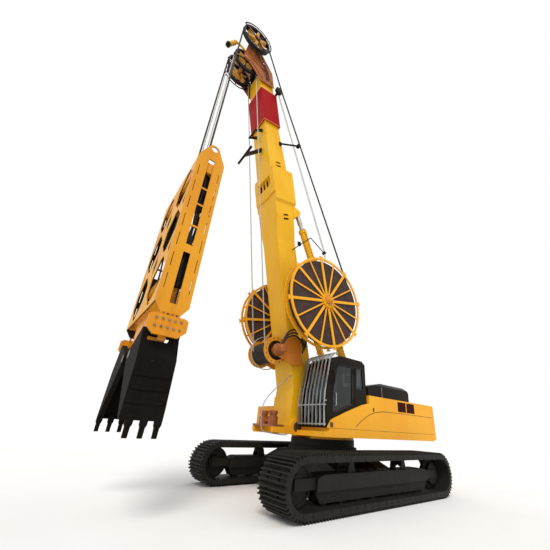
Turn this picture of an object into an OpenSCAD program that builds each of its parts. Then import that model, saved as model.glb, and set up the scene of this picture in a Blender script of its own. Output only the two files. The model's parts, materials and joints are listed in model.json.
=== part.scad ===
// Hydraulic diaphragm wall grab on a tracked carrier.
// Lengths are in millimetres and angles in degrees. X points forward, Y to the cab side, Z up.
// The carrier is laid out about its slew axis, and the whole part is then shifted so that
// the origin is the middle of its footprint on the ground.

/* [Tracks] */
// Overall length of a track
track_length = 5500; // [5000:10:6000]
// Height of a track from the ground to its upper grousers
track_height = 1000; // [940:10:1100]
// Width of a track shoe
shoe_width = 800; // [700:10:900]
// Distance between the middles of the two tracks
track_gauge = 3430; // [3300:10:3700]
// Nominal length of one shoe along the chain
shoe_pitch = 216; // [190:1:240]
// Thickness of a shoe plate
shoe_plate = 25; // [18:1:32]
// Height of a grouser bar on its shoe
grouser_height = 45; // [30:1:55]
// Depth of the chain links under the shoes
link_depth = 80; // [60:1:95]
// Width of a track frame beam
track_beam_width = 420; // [380:10:480]

/* [Slewing deck] */
// Height of the deck's underside above the ground
deck_bottom = 1250; // [1200:10:1300]
// Thickness of the deck
deck_thickness = 180; // [150:10:220]
// Width of the deck and the machine house
house_width = 3000; // [2800:10:3200]
// Reach of the deck in front of the slew axis
deck_front = 1300; // [1250:10:1400]
// Reach of the counterweight behind the slew axis
tail_reach = 3500; // [3300:10:3700]
// Length of the counterweight
counterweight_length = 880; // [700:10:950]
// Height of the machine house roof above the ground
house_top = 2240; // [2150:10:2300]
// Height of the engine hood above the machine house roof
hood_height = 450; // [380:10:480]
// Outer radius of the slew ring
slew_ring_radius = 850; // [750:10:950]

/* [Cab] */
// Length of the cab
cab_length = 1400; // [1300:10:1450]
// Clearance between the cab and the girder beside the mast foot
cab_gap = 65; // [45:5:90]
// Height of the cab
cab_height = 1640; // [1550:10:1750]
// Thickness of the cab walls and of its door
cab_wall = 50; // [40:1:60]
// Thickness of the cab glass
glass_thickness = 12; // [8:1:16]
// Number of upright bars in the front guard
guard_bars = 8; // [6:1:9]

/* [Mast] */
// Place of the mast foot pin in front of the slew axis
mast_foot_x = 1250; // [1200:10:1300]
// Height of the mast foot pin above the ground
mast_foot_z = 1420; // [1390:10:1450]
// Lean of the mast from upright
mast_lean = 13.4; // [12:0.1:15]
// Width of the lower mast
mast_width = 740; // [680:10:760]
// Depth of the lower mast, front to back
mast_depth = 640; // [600:10:700]
// Thickness of the mast plates
mast_plate = 30; // [20:1:40]
// Length of the lower mast from its foot pin to its flange
lower_mast_length = 7550; // [7300:10:7800]
// Width of the collar at the top of the lower mast
collar_width = 1080; // [1000:10:1140]
// Length of the upper mast
upper_mast_length = 4150; // [4000:10:4300]
// Radius of the mast foot pin
foot_pin_radius = 80; // [70:1:95]

/* [Rigging] */
// Radius of the hose reels out to the rim
reel_radius = 1250; // [1150:10:1300]
// Distance of each reel's middle plane from the middle of the machine
reel_offset = 1120; // [1080:10:1180]
// Width of a hose reel between its two rims
reel_width = 240; // [200:10:280]
// Number of spokes on each face of a reel
reel_spokes = 16; // [12:1:20]
// Radius of the winch drum flanges
winch_radius = 350; // [320:5:360]
// Radius of the rope sheaves in the groove
sheave_radius = 390; // [360:5:400]
// Radius of the hose sheaves in the groove
hose_sheave_radius = 480; // [440:5:560]
// Radius of a hoist rope
rope_radius = 15; // [12:1:18]
// Radius of a hydraulic hose
hose_radius = 24; // [18:1:28]

/* [Luffing cylinders] */
// Distance of each cylinder from the middle of the machine
luff_offset = 420; // [410:5:425]
// Outer radius of the cylinder barrels
luff_barrel_radius = 105; // [95:1:115]
// Radius of the cylinder rods
luff_rod_radius = 65; // [55:1:75]

/* [Grab] */
// Thickness of the grab, which is the thickness of the wall that it digs
grab_thickness = 600; // [580:10:700]
// Width of the grab's guide frame
grab_width = 2500; // [2400:10:2600]
// Height of the jaw pins above the ground
jaw_pin_z = 2450; // [2400:10:2500]
// Height of the guide frame's lower edge above the ground
guide_bottom = 3080; // [3000:10:3150]
// Height of the guide frame's upper edge above the ground
guide_top = 7150; // [6900:10:7300]
// Thickness of the guide frame plates
guide_plate = 30; // [24:1:40]
// Distance of each jaw pin from the middle of the grab
jaw_pin_offset = 300; // [280:5:330]
// Closing angle of a jaw
jaw_close = 47; // [44:1:48]
// Thickness of the jaw plates
jaw_plate = 40; // [30:1:50]
// Length of a tooth
tooth_length = 240; // [200:5:260]

/* [Hidden] */

// Fits and small clearances
pin_fit = 0.3;
run_gap = 5;
round_fn = 64;

// Colours
paint_yellow = [0.93, 0.66, 0.12];
paint_orange = [0.90, 0.52, 0.12];
paint_black = [0.10, 0.10, 0.09];
paint_red = [0.72, 0.08, 0.09];
steel_grey = [0.55, 0.55, 0.54];
rope_grey = [0.45, 0.45, 0.44];
hose_brown = [0.20, 0.10, 0.08];
glass_tint = [0.25, 0.28, 0.28, 0.5];

// Track layout
pitch_radius = track_height / 2 - grouser_height - shoe_plate;
wheel_x = (track_length - track_height) / 2;
wheel_z = track_height / 2;
loop_run = 2 * wheel_x;
loop_length = 2 * loop_run + 2 * PI * pitch_radius;
shoe_count = round(loop_length / shoe_pitch);
link_pitch = loop_length / shoe_count;
chain_radius = pitch_radius - link_depth;
wheel_radius = chain_radius - pin_fit;
frame_side = 30;
frame_top_z = wheel_z + 140;
frame_bottom_z = wheel_z - 120;
roller_radius = 110;
roller_z = wheel_z - chain_radius + roller_radius + pin_fit;
roller_count = 8;
carrier_radius = 80;
carrier_z = wheel_z + chain_radius - carrier_radius - pin_fit;
wheel_width = 240;
axle_radius = 45;

// Deck and house layout
deck_top = deck_bottom + deck_thickness;
half_house = house_width / 2;
girder_thickness = 80;
girder_gap = mast_width / 2 + run_gap;
girder_outer = girder_gap + girder_thickness;
bay_half = 560;
house_wall = 40;
house_rear_x = -tail_reach + counterweight_length;
hood_hinge_x = house_rear_x + 60;
hood_hinge_z = house_top + 40;
hood_hinge_y = 1000;
hood_pin = 15;
nose_x = mast_foot_x + 690;
nose_z = deck_bottom + 150;
// Where the house side wall is pierced for air, and the crease pressed into it
grille_x = [house_rear_x + 390, house_rear_x + 790, house_rear_x + 820, house_rear_x + 1220];
grille_z = [house_top - 300, house_top - 40];
crease = [[330, deck_top + 60], [130, deck_top + 200], [-140, deck_top + 337], [-360, deck_top + 410],
  [-620, deck_top + 450], [-1000, deck_top + 470], [-tail_reach + 270, deck_top + 470]];

// Cab layout
cab_left = half_house - 50;
cab_right = girder_outer + cab_gap;
cab_width = cab_left - cab_right;
cab_front = deck_front - 60;
cab_rear = cab_front - cab_length;
cab_floor = deck_top;
cab_roof = cab_floor + cab_height;
guard_stand = 60;
door_hinge_x = cab_rear + 470;
door_hinge_y = cab_left + 20;
door_hinge_z = [2060, 2760];
door_pin = 8;
guard_bar = 24;

// Mast layout, in the mast's own frame: x forward from its middle line, z along it from the foot
mast_front = mast_depth / 2;
foot_forward = mast_front + 80;
foot_radius = 170;
flare_start = lower_mast_length - 2450;
flare_end = lower_mast_length - 1650;
collar_start = lower_mast_length - 1200;
collar_bulge = 120;
upper_bottom_width = 800;
upper_top_width = 690;
upper_bottom_depth = 670;
upper_top_depth = 530;
upper_knee = 2050;
mast_top = lower_mast_length + upper_mast_length;
sign_bottom = mast_top - 2200;
sign_length = 1400;
reel_x = -470;
reel_z = 2990;
reel_shaft_radius = 90;
winch_x = mast_front + winch_radius + 80;
winch_z = 1850;
winch_half = 400;
rope_axle_x = 806;
rope_axle_z = mast_top + 190;
hose_rise = 1000;
axle_bore = 60;
head_plate = 30;
head_half = 400;
rope_offset = 280;
hose_offset = 600;
guide_pulley_x = -260;
guide_pulley_z = mast_top - 740;
guide_pulley_radius = 130;

// Luffing cylinder layout, in the machine frame
luff_foot_x = -1080;
luff_foot_z = 1850;
luff_eye_x = -mast_front - 200;
luff_eye_z = lower_mast_length - 1400;
luff_pin_radius = 45;
// The rod's eye is bored wide, because barrel and rod follow the mast at a steady ratio
luff_eye_play = 13;
luff_neck = 400;
luff_stroke = 600;

// Grab layout
grab_half = grab_width / 2;
grab_half_t = grab_thickness / 2;
lip_gap = 90;
ear_radius = 706;
jaw_pin_radius = 70;

function rot2(p, a) = [p[0] * cos(a) - p[1] * sin(a), p[0] * sin(a) + p[1] * cos(a)];
function mast_to_machine(x, z) = let (d = x - foot_forward)
  [mast_foot_x + d * cos(mast_lean) + z * sin(mast_lean),
      mast_foot_z - d * sin(mast_lean) + z * cos(mast_lean)];
function machine_to_mast(x, z) = let (dx = x - mast_foot_x, dz = z - mast_foot_z)
  [foot_forward + dx * cos(mast_lean) - dz * sin(mast_lean), dx * sin(mast_lean) + dz * cos(mast_lean)];

// The ropes and hoses hang from the front of the head sheaves, and the grab hangs in that line
rope_axle = mast_to_machine(rope_axle_x, rope_axle_z);
grab_x = rope_axle[0] + sheave_radius + rope_radius + 1;
hose_axle = [grab_x - hose_sheave_radius - hose_radius - 1, rope_axle[1] + hose_rise];
hose_axle_mast = machine_to_mast(hose_axle[0], hose_axle[1]);

// Origin of the part: the middle of its footprint
part_front = grab_x + grab_thickness / 2 + 20;
origin_x = (part_front - tail_reach) / 2;

// A cylinder along Y, from y0 to y1
module y_bar(r, y0, y1) {
  translate([0, y1, 0]) rotate([90, 0, 0]) cylinder(r = r, h = y1 - y0, $fn = round_fn);
}

// A flat outline in X and Z, given a thickness from y0 to y1
module y_slab(y0, y1) {
  translate([0, y1, 0]) rotate([90, 0, 0]) linear_extrude(y1 - y0) children();
}

// A flat outline in Y and Z, given a thickness from x0 to x1
module x_slab(x0, x1) {
  translate([x0, 0, 0]) rotate([90, 0, 90]) linear_extrude(x1 - x0) children();
}

// A box between two corners
module block(low, high) {
  translate(low) cube(high - low);
}

// The mast's frame set into the machine
module on_mast() {
  translate([mast_foot_x, 0, mast_foot_z]) rotate([0, mast_lean, 0]) translate([-foot_forward, 0, 0])
    children();
}

// Tracks: the chain line is a stadium, walked along the ground and round the front wheel
function loop_point(s) =
  s < loop_run ? [-wheel_x + s, -pitch_radius]
  : s < loop_run + PI * pitch_radius
    ? let (a = -90 + (s - loop_run) / pitch_radius * 180 / PI)
      [wheel_x + pitch_radius * cos(a), pitch_radius * sin(a)]
  : s < 2 * loop_run + PI * pitch_radius ? [wheel_x - (s - loop_run - PI * pitch_radius), pitch_radius]
  : let (a = 90 + (s - 2 * loop_run - PI * pitch_radius) / pitch_radius * 180 / PI)
    [-wheel_x + pitch_radius * cos(a), pitch_radius * sin(a)];

// One shoe in section, as shares of its pitch along the chain and heights above it
function shoe_section() =
  let (gap = 0.02, foot = 0.085, tip = 0.045, plate = shoe_plate, top = shoe_plate + grouser_height)
  concat([[0, 0], [gap, plate]],
    [for (c = [0.16, 0.5, 0.84], q = [[-foot, plate], [-tip, top], [tip, top], [foot, plate]]) [c + q[0],
        q[1]]],
    [[1 - gap, plate]]);

function shoe_outline() =
  [for (i = [0 : shoe_count - 1])
    let (a = loop_point(i * link_pitch), b = loop_point((i + 1) % shoe_count * link_pitch),
         t = (b - a) / norm(b - a), n = [t[1], -t[0]], len = norm(b - a))
    for (q = shoe_section()) a + t * q[0] * len + n * q[1]];

module track_loop() {
  color(paint_black)
  translate([0, 0, wheel_z]) y_slab(-shoe_width / 2, shoe_width / 2) difference() {
    polygon(shoe_outline());
    union() {
      square([loop_run, 2 * chain_radius], center = true);
      for (x = [-wheel_x, wheel_x]) translate([x, 0]) circle(r = chain_radius, $fn = round_fn);
    }
  }
}

module track_left() { translate([0, track_gauge / 2, 0]) track_loop(); }
module track_right() { translate([0, -track_gauge / 2, 0]) track_loop(); }

// A track frame beam with roller skirts and the arms that hold its end wheels
module track_beam() {
  half = track_beam_width / 2;
  arm_half = wheel_width / 2 + run_gap;
  beam_x = wheel_x - wheel_radius - 40;
  color(paint_black) {
    y_slab(-half, half) polygon([[-beam_x, frame_bottom_z], [beam_x, frame_bottom_z],
      [beam_x, frame_top_z - 60], [beam_x - 160, frame_top_z], [-beam_x + 160, frame_top_z],
      [-beam_x, frame_top_z - 60]]);
    for (side = [-1, 1]) {
      y0 = side > 0 ? arm_half : -arm_half - frame_side;
      // Skirts that carry the lower rollers
      y_slab(y0, y0 + frame_side) polygon([[-beam_x, frame_bottom_z], [-beam_x + 120, roller_z - 70],
        [beam_x - 120, roller_z - 70], [beam_x, frame_bottom_z]]);
      // Arms out to the idler and the sprocket
      for (end = [-1, 1]) y_slab(y0, y0 + frame_side)
        polygon([[end * (beam_x - 100), wheel_z - 90], [end * (wheel_x + 90), wheel_z - 90],
          [end * (wheel_x + 90), wheel_z + 90], [end * (beam_x - 100), wheel_z + 90]]);
      // Posts that carry the upper rollers
      for (x = [-900, 900]) translate([x, 0, 0]) y_slab(y0, y0 + frame_side)
        polygon([[-110, frame_top_z - 10], [110, frame_top_z - 10], [60, carrier_z + 50],
          [-60, carrier_z + 50]]);
    }
  }
}

module track_frame_left() { translate([0, track_gauge / 2, 0]) track_beam(); }
module track_frame_right() { translate([0, -track_gauge / 2, 0]) track_beam(); }

// Both sides of a piece that sits inside the tracks
module both_tracks() {
  for (y = [-track_gauge / 2, track_gauge / 2]) translate([0, y, 0]) children();
}

module drive_sprockets() {
  teeth = 21;
  half = wheel_width / 2;
  color(paint_black) both_tracks() translate([-wheel_x, 0, wheel_z]) {
    y_slab(-30, 30) union() {
      circle(r = wheel_radius - 45, $fn = round_fn);
      for (i = [0 : teeth - 1]) rotate(i * 360 / teeth) translate([wheel_radius - 60, 0])
        polygon([[0, -34], [60, -14], [60, 14], [0, 34]]);
    }
    y_bar(230, -half, -30);
    y_bar(230, 30, half);
    y_bar(axle_radius, half, half + run_gap);
    y_bar(axle_radius, -half - run_gap, -half);
  }
}

module track_idlers() {
  half = wheel_width / 2;
  color(paint_black) both_tracks() translate([wheel_x, 0, wheel_z]) {
    rotate([90, 0, 0]) rotate_extrude($fn = round_fn) polygon([[0, -half], [150, -half], [150, -60],
      [wheel_radius - 40, -60], [wheel_radius - 40, -80], [wheel_radius, -80], [wheel_radius, 80],
      [wheel_radius - 40, 80], [wheel_radius - 40, 60], [150, 60], [150, half], [0, half]]);
    y_bar(axle_radius, half, half + run_gap);
    y_bar(axle_radius, -half - run_gap, -half);
  }
}

// A roller with two treads on a shaft that reaches the frame plates on both sides
module roller(r) {
  half = wheel_width / 2;
  rotate([90, 0, 0]) rotate_extrude($fn = 32) polygon([[0, -half - run_gap], [axle_radius, -half - run_gap],
    [axle_radius, -half], [r, -half], [r, -half + 70], [r - 25, -half + 80], [r - 25, half - 80],
    [r, half - 70], [r, half], [axle_radius, half], [axle_radius, half + run_gap], [0, half + run_gap]]);
}

module track_rollers() {
  reach = wheel_x - wheel_radius - 280;
  color(paint_black) both_tracks() {
    for (i = [0 : roller_count - 1])
      translate([-reach + i * 2 * reach / (roller_count - 1), 0, roller_z]) roller(roller_radius);
    for (x = [-900, 900]) translate([x, 0, carrier_z]) roller(carrier_radius);
  }
}

// The car body: a pedestal under the slew ring and two box beams out to the track frames
module car_body() {
  inner = track_gauge / 2 - track_beam_width / 2;
  low = frame_bottom_z + 20;
  color(paint_black) difference() {
    union() {
      translate([0, 0, low]) cylinder(r = slew_ring_radius + 60, h = track_height - low, $fn = round_fn);
      for (x = [-700, 700]) x_slab(x - 230, x + 230) polygon([[-inner, low], [inner, low],
        [inner, frame_top_z - 40], [700, track_height - 90], [-700, track_height - 90],
        [-inner, frame_top_z - 40]]);
    }
    translate([0, 0, low - 1]) cylinder(r = 300, h = track_height, $fn = round_fn);
  }
}

module slew_ring() {
  color(paint_black) translate([0, 0, track_height]) difference() {
    cylinder(r = slew_ring_radius, h = deck_bottom - track_height - 70, $fn = round_fn);
    translate([0, 0, -1]) cylinder(r = slew_ring_radius - 220, h = deck_bottom, $fn = round_fn);
  }
}

// The slewing deck: a plate with the slew ring's upper race under it and two girders on it,
// which hold the mast foot in front and the luffing cylinders behind
module deck_frame() {
  slot_rear = mast_foot_x - mast_depth - 260;
  color(paint_yellow) difference() {
    union() {
      translate([0, 0, deck_bottom]) linear_extrude(deck_thickness)
        polygon([[-tail_reach + 300, -half_house], [deck_front, -half_house], [deck_front, half_house],
        [-tail_reach + 300, half_house]]);
      translate([0, 0, deck_bottom - 69.7])
        cylinder(r = slew_ring_radius - 10, h = 69.7 + deck_thickness, $fn = round_fn);
      for (side = [-1, 1]) {
        y0 = side > 0 ? girder_gap : -girder_outer;
        y_slab(y0, y0 + girder_thickness) union() {
          polygon([[mast_foot_x + 120, deck_bottom], [mast_foot_x + 190, mast_foot_z],
            [mast_foot_x - 60, mast_foot_z + 180], [mast_foot_x - 700, mast_foot_z + 240],
            [-350, deck_top + 260], [-500, deck_bottom + 20]]);
          translate([mast_foot_x, mast_foot_z]) circle(r = 190, $fn = round_fn);
          polygon([[mast_foot_x + 60, deck_bottom], [nose_x, deck_bottom + 40], [nose_x, nose_z],
            [nose_x - 300, nose_z], [mast_foot_x + 100, nose_z + 30]]);
        }
      }
      // Lugs and pins for the luffing cylinder feet
      for (y = [-luff_offset, luff_offset]) {
        for (side = [-1, 1]) y_slab(y + (side > 0 ? 62 : -102), y + (side > 0 ? 102 : -62)) union() {
          polygon([[luff_foot_x - 260, deck_bottom + 20], [luff_foot_x + 260, deck_bottom + 20],
            [luff_foot_x + 95, luff_foot_z], [luff_foot_x - 95, luff_foot_z]]);
          translate([luff_foot_x, luff_foot_z]) circle(r = 95, $fn = round_fn);
        }
        translate([luff_foot_x, 0, luff_foot_z]) y_bar(luff_pin_radius, y - 102, y + 102);
      }
    }
    block([slot_rear, -girder_gap, 0], [deck_front + 500, girder_gap, mast_foot_z + 500]);
    translate([mast_foot_x, 0, mast_foot_z]) {
      y_bar(foot_pin_radius + pin_fit, -house_width, house_width);
      y_bar(foot_pin_radius + 40, girder_outer, girder_outer + 60);
      y_bar(foot_pin_radius + 40, -girder_outer - 60, -girder_outer);
    }
  }
}

module mast_foot_pin() {
  reach = girder_outer + 30;
  color(steel_grey) translate([mast_foot_x, 0, mast_foot_z]) {
    y_bar(foot_pin_radius, -reach + 30, reach - 30);
    for (side = [-1, 1])
      y_bar(foot_pin_radius + 30, side > 0 ? girder_outer + pin_fit : -reach,
          side > 0 ? reach : -girder_outer - pin_fit);
  }
}

// Top edge of the fairing under the door, as shares of the cab's length and the house's height
fairing_table = [[-0.1, 0.79], [0.15, 0.70], [0.36, 0.575], [0.57, 0.447], [0.87, 0.246], [0.93, 0.19],
    [0.97, 0.11], [0.986, 0.04]];
function fairing_z(x) = deck_top + (house_top - deck_top) * lookup((x - cab_rear) / cab_length,
    fairing_table);
function fairing_edge(x0, x1, rise) =
  [for (i = [0 : 16]) let (x = x0 + i / 16 * (x1 - x0)) [x, fairing_z(x) + rise]];

// A shallow groove along the crease of the side panels
module crease_cut() {
  n = len(crease);
  y_slab(half_house - 8, half_house + 1) polygon(concat([for (p = crease) p + [6, 6]],
    [for (i = [1 : n]) crease[n - i] - [6, 6]]));
}

// Pins at the back of the house roof that the engine hood turns on
module hood_pins(y) {
  translate([hood_hinge_x, y, hood_hinge_z]) y_bar(hood_pin, -90, 90);
  for (d = [-90, 60]) translate([0, y, 0]) y_slab(d, d + 30) polygon([[hood_hinge_x - 40, house_top - 20],
    [hood_hinge_x + 40, house_top - 20], [hood_hinge_x + 18, hood_hinge_z + 18],
    [hood_hinge_x - 18, hood_hinge_z + 18]]);
}

// The left machine house: a pump room behind the cab, with two air openings in its side
module house_left() {
  color(paint_yellow) difference() {
    union() {
      y_slab(bay_half, half_house) polygon([[house_rear_x, deck_top], [cab_rear - 20, deck_top],
        [cab_rear - 20, house_top], [house_rear_x, house_top]]);
      hood_pins(hood_hinge_y);
    }
    block([house_rear_x + house_wall, bay_half + house_wall, deck_top - 1],
      [cab_rear - 20 - house_wall, half_house - house_wall, house_top - house_wall]);
    for (i = [0, 2]) block([grille_x[i], half_house - house_wall - 1, grille_z[0]], [grille_x[i + 1],
        half_house + 1, grille_z[1]]);
    crease_cut();
  }
}

// Slats in the air openings
module house_grille() {
  slats = 6;
  pitch = (grille_z[1] - grille_z[0]) / slats;
  color(paint_black) for (i = [0, 2]) {
    for (k = [0 : slats - 1]) translate([0, 0, grille_z[0] + k * pitch])
      x_slab(grille_x[i] + 10, grille_x[i + 1] - 10)
        polygon([[half_house - 34, 4], [half_house - 28, 0.3], [half_house - 4, pitch - 14],
            [half_house - 4, pitch - 6]]);
    for (x = [grille_x[i], grille_x[i + 1] - 12]) block([x, half_house - 36, grille_z[0]],
      [x + 12, half_house - 6, grille_z[1]]);
  }
}

// A fairing that sweeps forward under the door
module cab_fairing() {
  color(paint_yellow) difference() {
    y_slab(cab_left + 8, half_house) polygon(concat([[cab_rear - 20, deck_top], [cab_front - 20, deck_top]],
      fairing_edge(cab_front - 20, cab_rear - 20, 0)));
    crease_cut();
  }
}

// Hose manifold in front of the mast foot
module hose_manifold() {
  color(paint_orange) {
    block([nose_x - 290, -girder_outer, nose_z + pin_fit], [nose_x, girder_outer, nose_z + 50]);
    for (y = [-200, 200]) translate([nose_x - 145, y, nose_z + 49]) {
      cylinder(r = 115, h = 170, $fn = round_fn);
      translate([0, 0, 169]) cylinder(r = 85, h = 60, $fn = round_fn);
      translate([0, 0, 228]) cylinder(r = 105, h = 70, $fn = round_fn);
    }
    translate([nose_x - 145, 0, nose_z + 120]) y_bar(45, -200, 200);
  }
}

module house_right() {
  step_top = house_top - 320;
  front = deck_front - 80;
  step_x = deck_front - 620;
  color(paint_yellow) {
    difference() {
      y_slab(-half_house, -bay_half) polygon([[house_rear_x, deck_top], [front, deck_top], [front, step_top],
        [step_x, step_top], [step_x, house_top], [house_rear_x, house_top]]);
      y_slab(-half_house + house_wall, -bay_half - house_wall)
        polygon([[house_rear_x + house_wall, deck_top - 1], [front - house_wall, deck_top - 1],
        [front - house_wall, step_top - house_wall], [step_x - house_wall, step_top - house_wall],
        [step_x - house_wall, house_top - house_wall],
        [house_rear_x + house_wall, house_top - house_wall]]);
    }
    hood_pins(-hood_hinge_y);
  }
}

module counterweight() {
  low = deck_bottom + 40;
  corner = 260;
  color(paint_yellow) difference() {
    intersection() {
      translate([0, 0, low]) linear_extrude(house_top - low) hull() {
        translate([-tail_reach + corner, -half_house + corner]) circle(r = corner, $fn = round_fn);
        translate([-tail_reach + corner, half_house - corner]) circle(r = corner, $fn = round_fn);
        translate([house_rear_x - 20, -half_house]) square([20, house_width]);
      }
      y_slab(-house_width, house_width) polygon(concat(
        [[house_rear_x, low - 1], [-tail_reach + 60, low - 1], [-tail_reach - 1, low + 120]],
        [for (i = [0 : 6]) let (a = 180 - 15 * i)
          [-tail_reach + 210 + 211 * cos(a), house_top - 210 + 211 * sin(a)]],
        [[house_rear_x, house_top + 1]]));
    }
    block([-tail_reach + 300, -house_width, 0], [0, house_width, deck_top]);
    crease_cut();
  }
}

module engine() {
  color(steel_grey) block([house_rear_x + 100, -bay_half + 60, deck_top],
    [-1560, bay_half - 60, house_top - 90]);
}

// The hood's outside, or its inside for a wall, with a bevelled top that slopes down to the front
module hood_shape(side, rear, front_mid, front_left, wall) {
  low = wall > 0 ? -1 : 0;
  top = hood_height - wall;
  intersection() {
    translate([0, 0, low]) linear_extrude(hood_height) polygon([[rear + wall, -side + wall],
        [front_mid - wall, -side + wall],
      [front_mid - wall, bay_half + 60 + wall], [front_left - wall, bay_half + 60 + wall],
          [front_left - wall, side - wall],
      [rear + wall, side - wall]]);
    y_slab(-side - 1, side + 1) polygon([[rear - 1, low - 1], [rear - 1, top - 150], [rear + 130, top],
        [front_mid + 250, top],
      [front_left, top - 160], [front_left + 1, low - 1]]);
    x_slab(rear - 1, front_left + 1) polygon([[-side - 1, low - 1], [side + 1, low - 1],
      [side + 1, top - 90], [side - 110, top + 1], [-side + 110, top + 1], [-side - 1, top - 90]]);
  }
}

module engine_hood() {
  side = 1180;
  front_left = cab_rear - 380;
  front_mid = -1480;
  rear = hood_hinge_x + 60;
  wall = house_wall;
  color(paint_black) {
    translate([0, 0, house_top + run_gap]) difference() {
      hood_shape(side, rear, front_mid, front_left, 0);
      hood_shape(side, rear, front_mid, front_left, wall);
    }
    // Knuckles on the hinge pins
    for (y = [-hood_hinge_y, hood_hinge_y]) difference() {
      union() {
        translate([hood_hinge_x, y, hood_hinge_z]) y_bar(30, -54, 54);
        block([hood_hinge_x, y - 54, hood_hinge_z], [rear + 5, y + 54, hood_hinge_z + 30]);
      }
      translate([hood_hinge_x, y, hood_hinge_z]) y_bar(hood_pin + pin_fit, -60, 60);
    }
  }
}

// The cab's side outline, taken in by an inset
function cab_outline(inset) =
  let (x0 = cab_rear + inset, x1 = cab_front - inset, z0 = cab_floor + inset, z1 = cab_roof - inset)
  [[x0, z0], [x1 - 30, z0], [x1, z0 + 560], [x1 - 20, z0 + 820], [x1 - 160, z1 - 180], [x1 - 330, z1 - 30],
   [x1 - 480, z1], [x0 + 180, z1], [x0 + 60, z1 - 80]];

// Windows and the doorway, as outlines in X and Z
module doorway() {
  rear = cab_rear + 470;
  front = cab_front - 120;
  polygon(concat(fairing_edge(rear, front, 25), [[front, deck_top + 800], [front - 130, cab_roof - 300],
    [front - 280, cab_roof - 140], [rear, cab_roof - 140]]));
}

module side_window() {
  polygon([[cab_rear + 130, cab_roof - 720], [cab_rear + 400, cab_roof - 720],
    [cab_rear + 400, cab_roof - 190], [cab_rear + 160, cab_roof - 190]]);
}

module mast_window() {
  polygon([[cab_rear + 160, cab_floor + 620], [cab_front - 160, cab_floor + 620],
    [cab_front - 300, cab_roof - 220], [cab_rear + 200, cab_roof - 220]]);
}

module front_window_cut() {
  block([cab_front - 420, cab_right + 90, cab_floor + 180],
    [cab_front + 10, cab_left - 90, cab_roof - 130]);
}

module rear_window_cut() {
  block([cab_rear - 10, cab_right + 130, cab_roof - 720], [cab_rear + 200, cab_left - 130, cab_roof - 220]);
}

// Floor, front, roof and rear of the cab, bent from one band
module cab_shell() {
  color(paint_black) difference() {
    y_slab(cab_right + cab_wall, cab_left - cab_wall) difference() {
      polygon(cab_outline(0));
      polygon(cab_outline(cab_wall));
    }
    front_window_cut();
    rear_window_cut();
  }
}

module cab_sides() {
  color(paint_black) {
    y_slab(cab_left - cab_wall, cab_left) difference() {
      polygon(cab_outline(0));
      doorway();
      side_window();
    }
    y_slab(cab_right, cab_right + cab_wall) difference() {
      polygon(cab_outline(0));
      mast_window();
    }
    // Brackets and pins of the door hinges
    for (z = door_hinge_z) {
      translate([door_hinge_x, door_hinge_y, z - 60]) cylinder(r = door_pin, h = 120, $fn = 32);
      for (d = [-60, 36]) {
        block([door_hinge_x - 70, cab_left - 1, z + d], [door_hinge_x - 10, door_hinge_y + 10, z + d + 24]);
        block([door_hinge_x - 11, cab_left + 6, z + d], [door_hinge_x + 10, door_hinge_y + 10, z + d + 24]);
      }
    }
  }
}

module cab_glass() {
  mid = (cab_wall - glass_thickness) / 2;
  color(glass_tint) {
    // Windscreen and rear window follow the cab's outline
    intersection() {
      y_slab(cab_right + 90, cab_left - 90) difference() {
        polygon(cab_outline(mid));
        polygon(cab_outline(mid + glass_thickness));
      }
      union() { front_window_cut(); rear_window_cut(); }
    }
    y_slab(cab_left - mid - glass_thickness, cab_left - mid) side_window();
    y_slab(cab_right + mid, cab_right + mid + glass_thickness) mast_window();
  }
}

// The door fills its doorway, less a gap all round
module door_plan(inset) {
  offset(delta = -inset) doorway();
}

module cab_door() {
  color(paint_black) {
    y_slab(cab_left - cab_wall, cab_left) difference() {
      door_plan(run_gap);
      door_plan(80);
    }
    for (z = door_hinge_z) difference() {
      union() {
        translate([door_hinge_x, door_hinge_y, z - 32]) cylinder(r = 16, h = 64, $fn = 32);
        block([door_hinge_x, cab_left + 4, z - 32], [door_hinge_x + 60, door_hinge_y + 6, z + 32]);
        block([door_hinge_x + 30, cab_left - 1, z - 32], [door_hinge_x + 60, door_hinge_y + 6, z + 32]);
      }
      translate([door_hinge_x, door_hinge_y, z - 61]) cylinder(r = door_pin + pin_fit, h = 122, $fn = 32);
    }
  }
}

module door_glass() {
  mid = (cab_wall - glass_thickness) / 2;
  color(glass_tint) y_slab(cab_left - mid - glass_thickness, cab_left - mid) door_plan(80);
}

// Bars in front of the windscreen, bent to the cab's front outline, on short stays
module front_guard() {
  span = cab_width - guard_bar;
  back = cab_front - 330;
  outer = cab_front + guard_stand + 8;
  color(steel_grey) {
    for (i = [0 : guard_bars - 1]) translate([0, cab_right + i * span / (guard_bars - 1), 0])
      y_slab(0, guard_bar) intersection() {
        difference() {
          polygon(cab_outline(-guard_stand - guard_bar));
          polygon(cab_outline(-guard_stand));
        }
        translate([back, cab_floor + 40]) square([600, cab_height + 60]);
      }
    for (z = [cab_floor + 60, cab_floor + 460]) block([outer - 50, cab_right, z],
      [outer + 4, cab_left, z + guard_bar]);
    block([back, cab_right, cab_roof + guard_stand - 8],
      [back + 30, cab_left, cab_roof + guard_stand + 16]);
    for (y = [cab_right, cab_left - guard_bar]) {
      block([cab_front + pin_fit, y, cab_floor + 548], [outer, y + guard_bar, cab_floor + 548 + guard_bar]);
      block([back, y, cab_roof + pin_fit], [back + 30, y + guard_bar, cab_roof + guard_stand]);
    }
  }
}

module operator_seat() {
  mid_y = (cab_left + cab_right) / 2;
  seat_x = cab_rear + 600;
  color(paint_black) translate([seat_x, mid_y, cab_floor + cab_wall]) {
    block([-150, -150, 0], [150, 150, 330]);
    block([-250, -240, 330], [260, 240, 450]);
    translate([-250, 0, 450]) rotate([0, -12, 0]) block([-60, -230, 0], [60, 230, 640]);
  }
}

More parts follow.
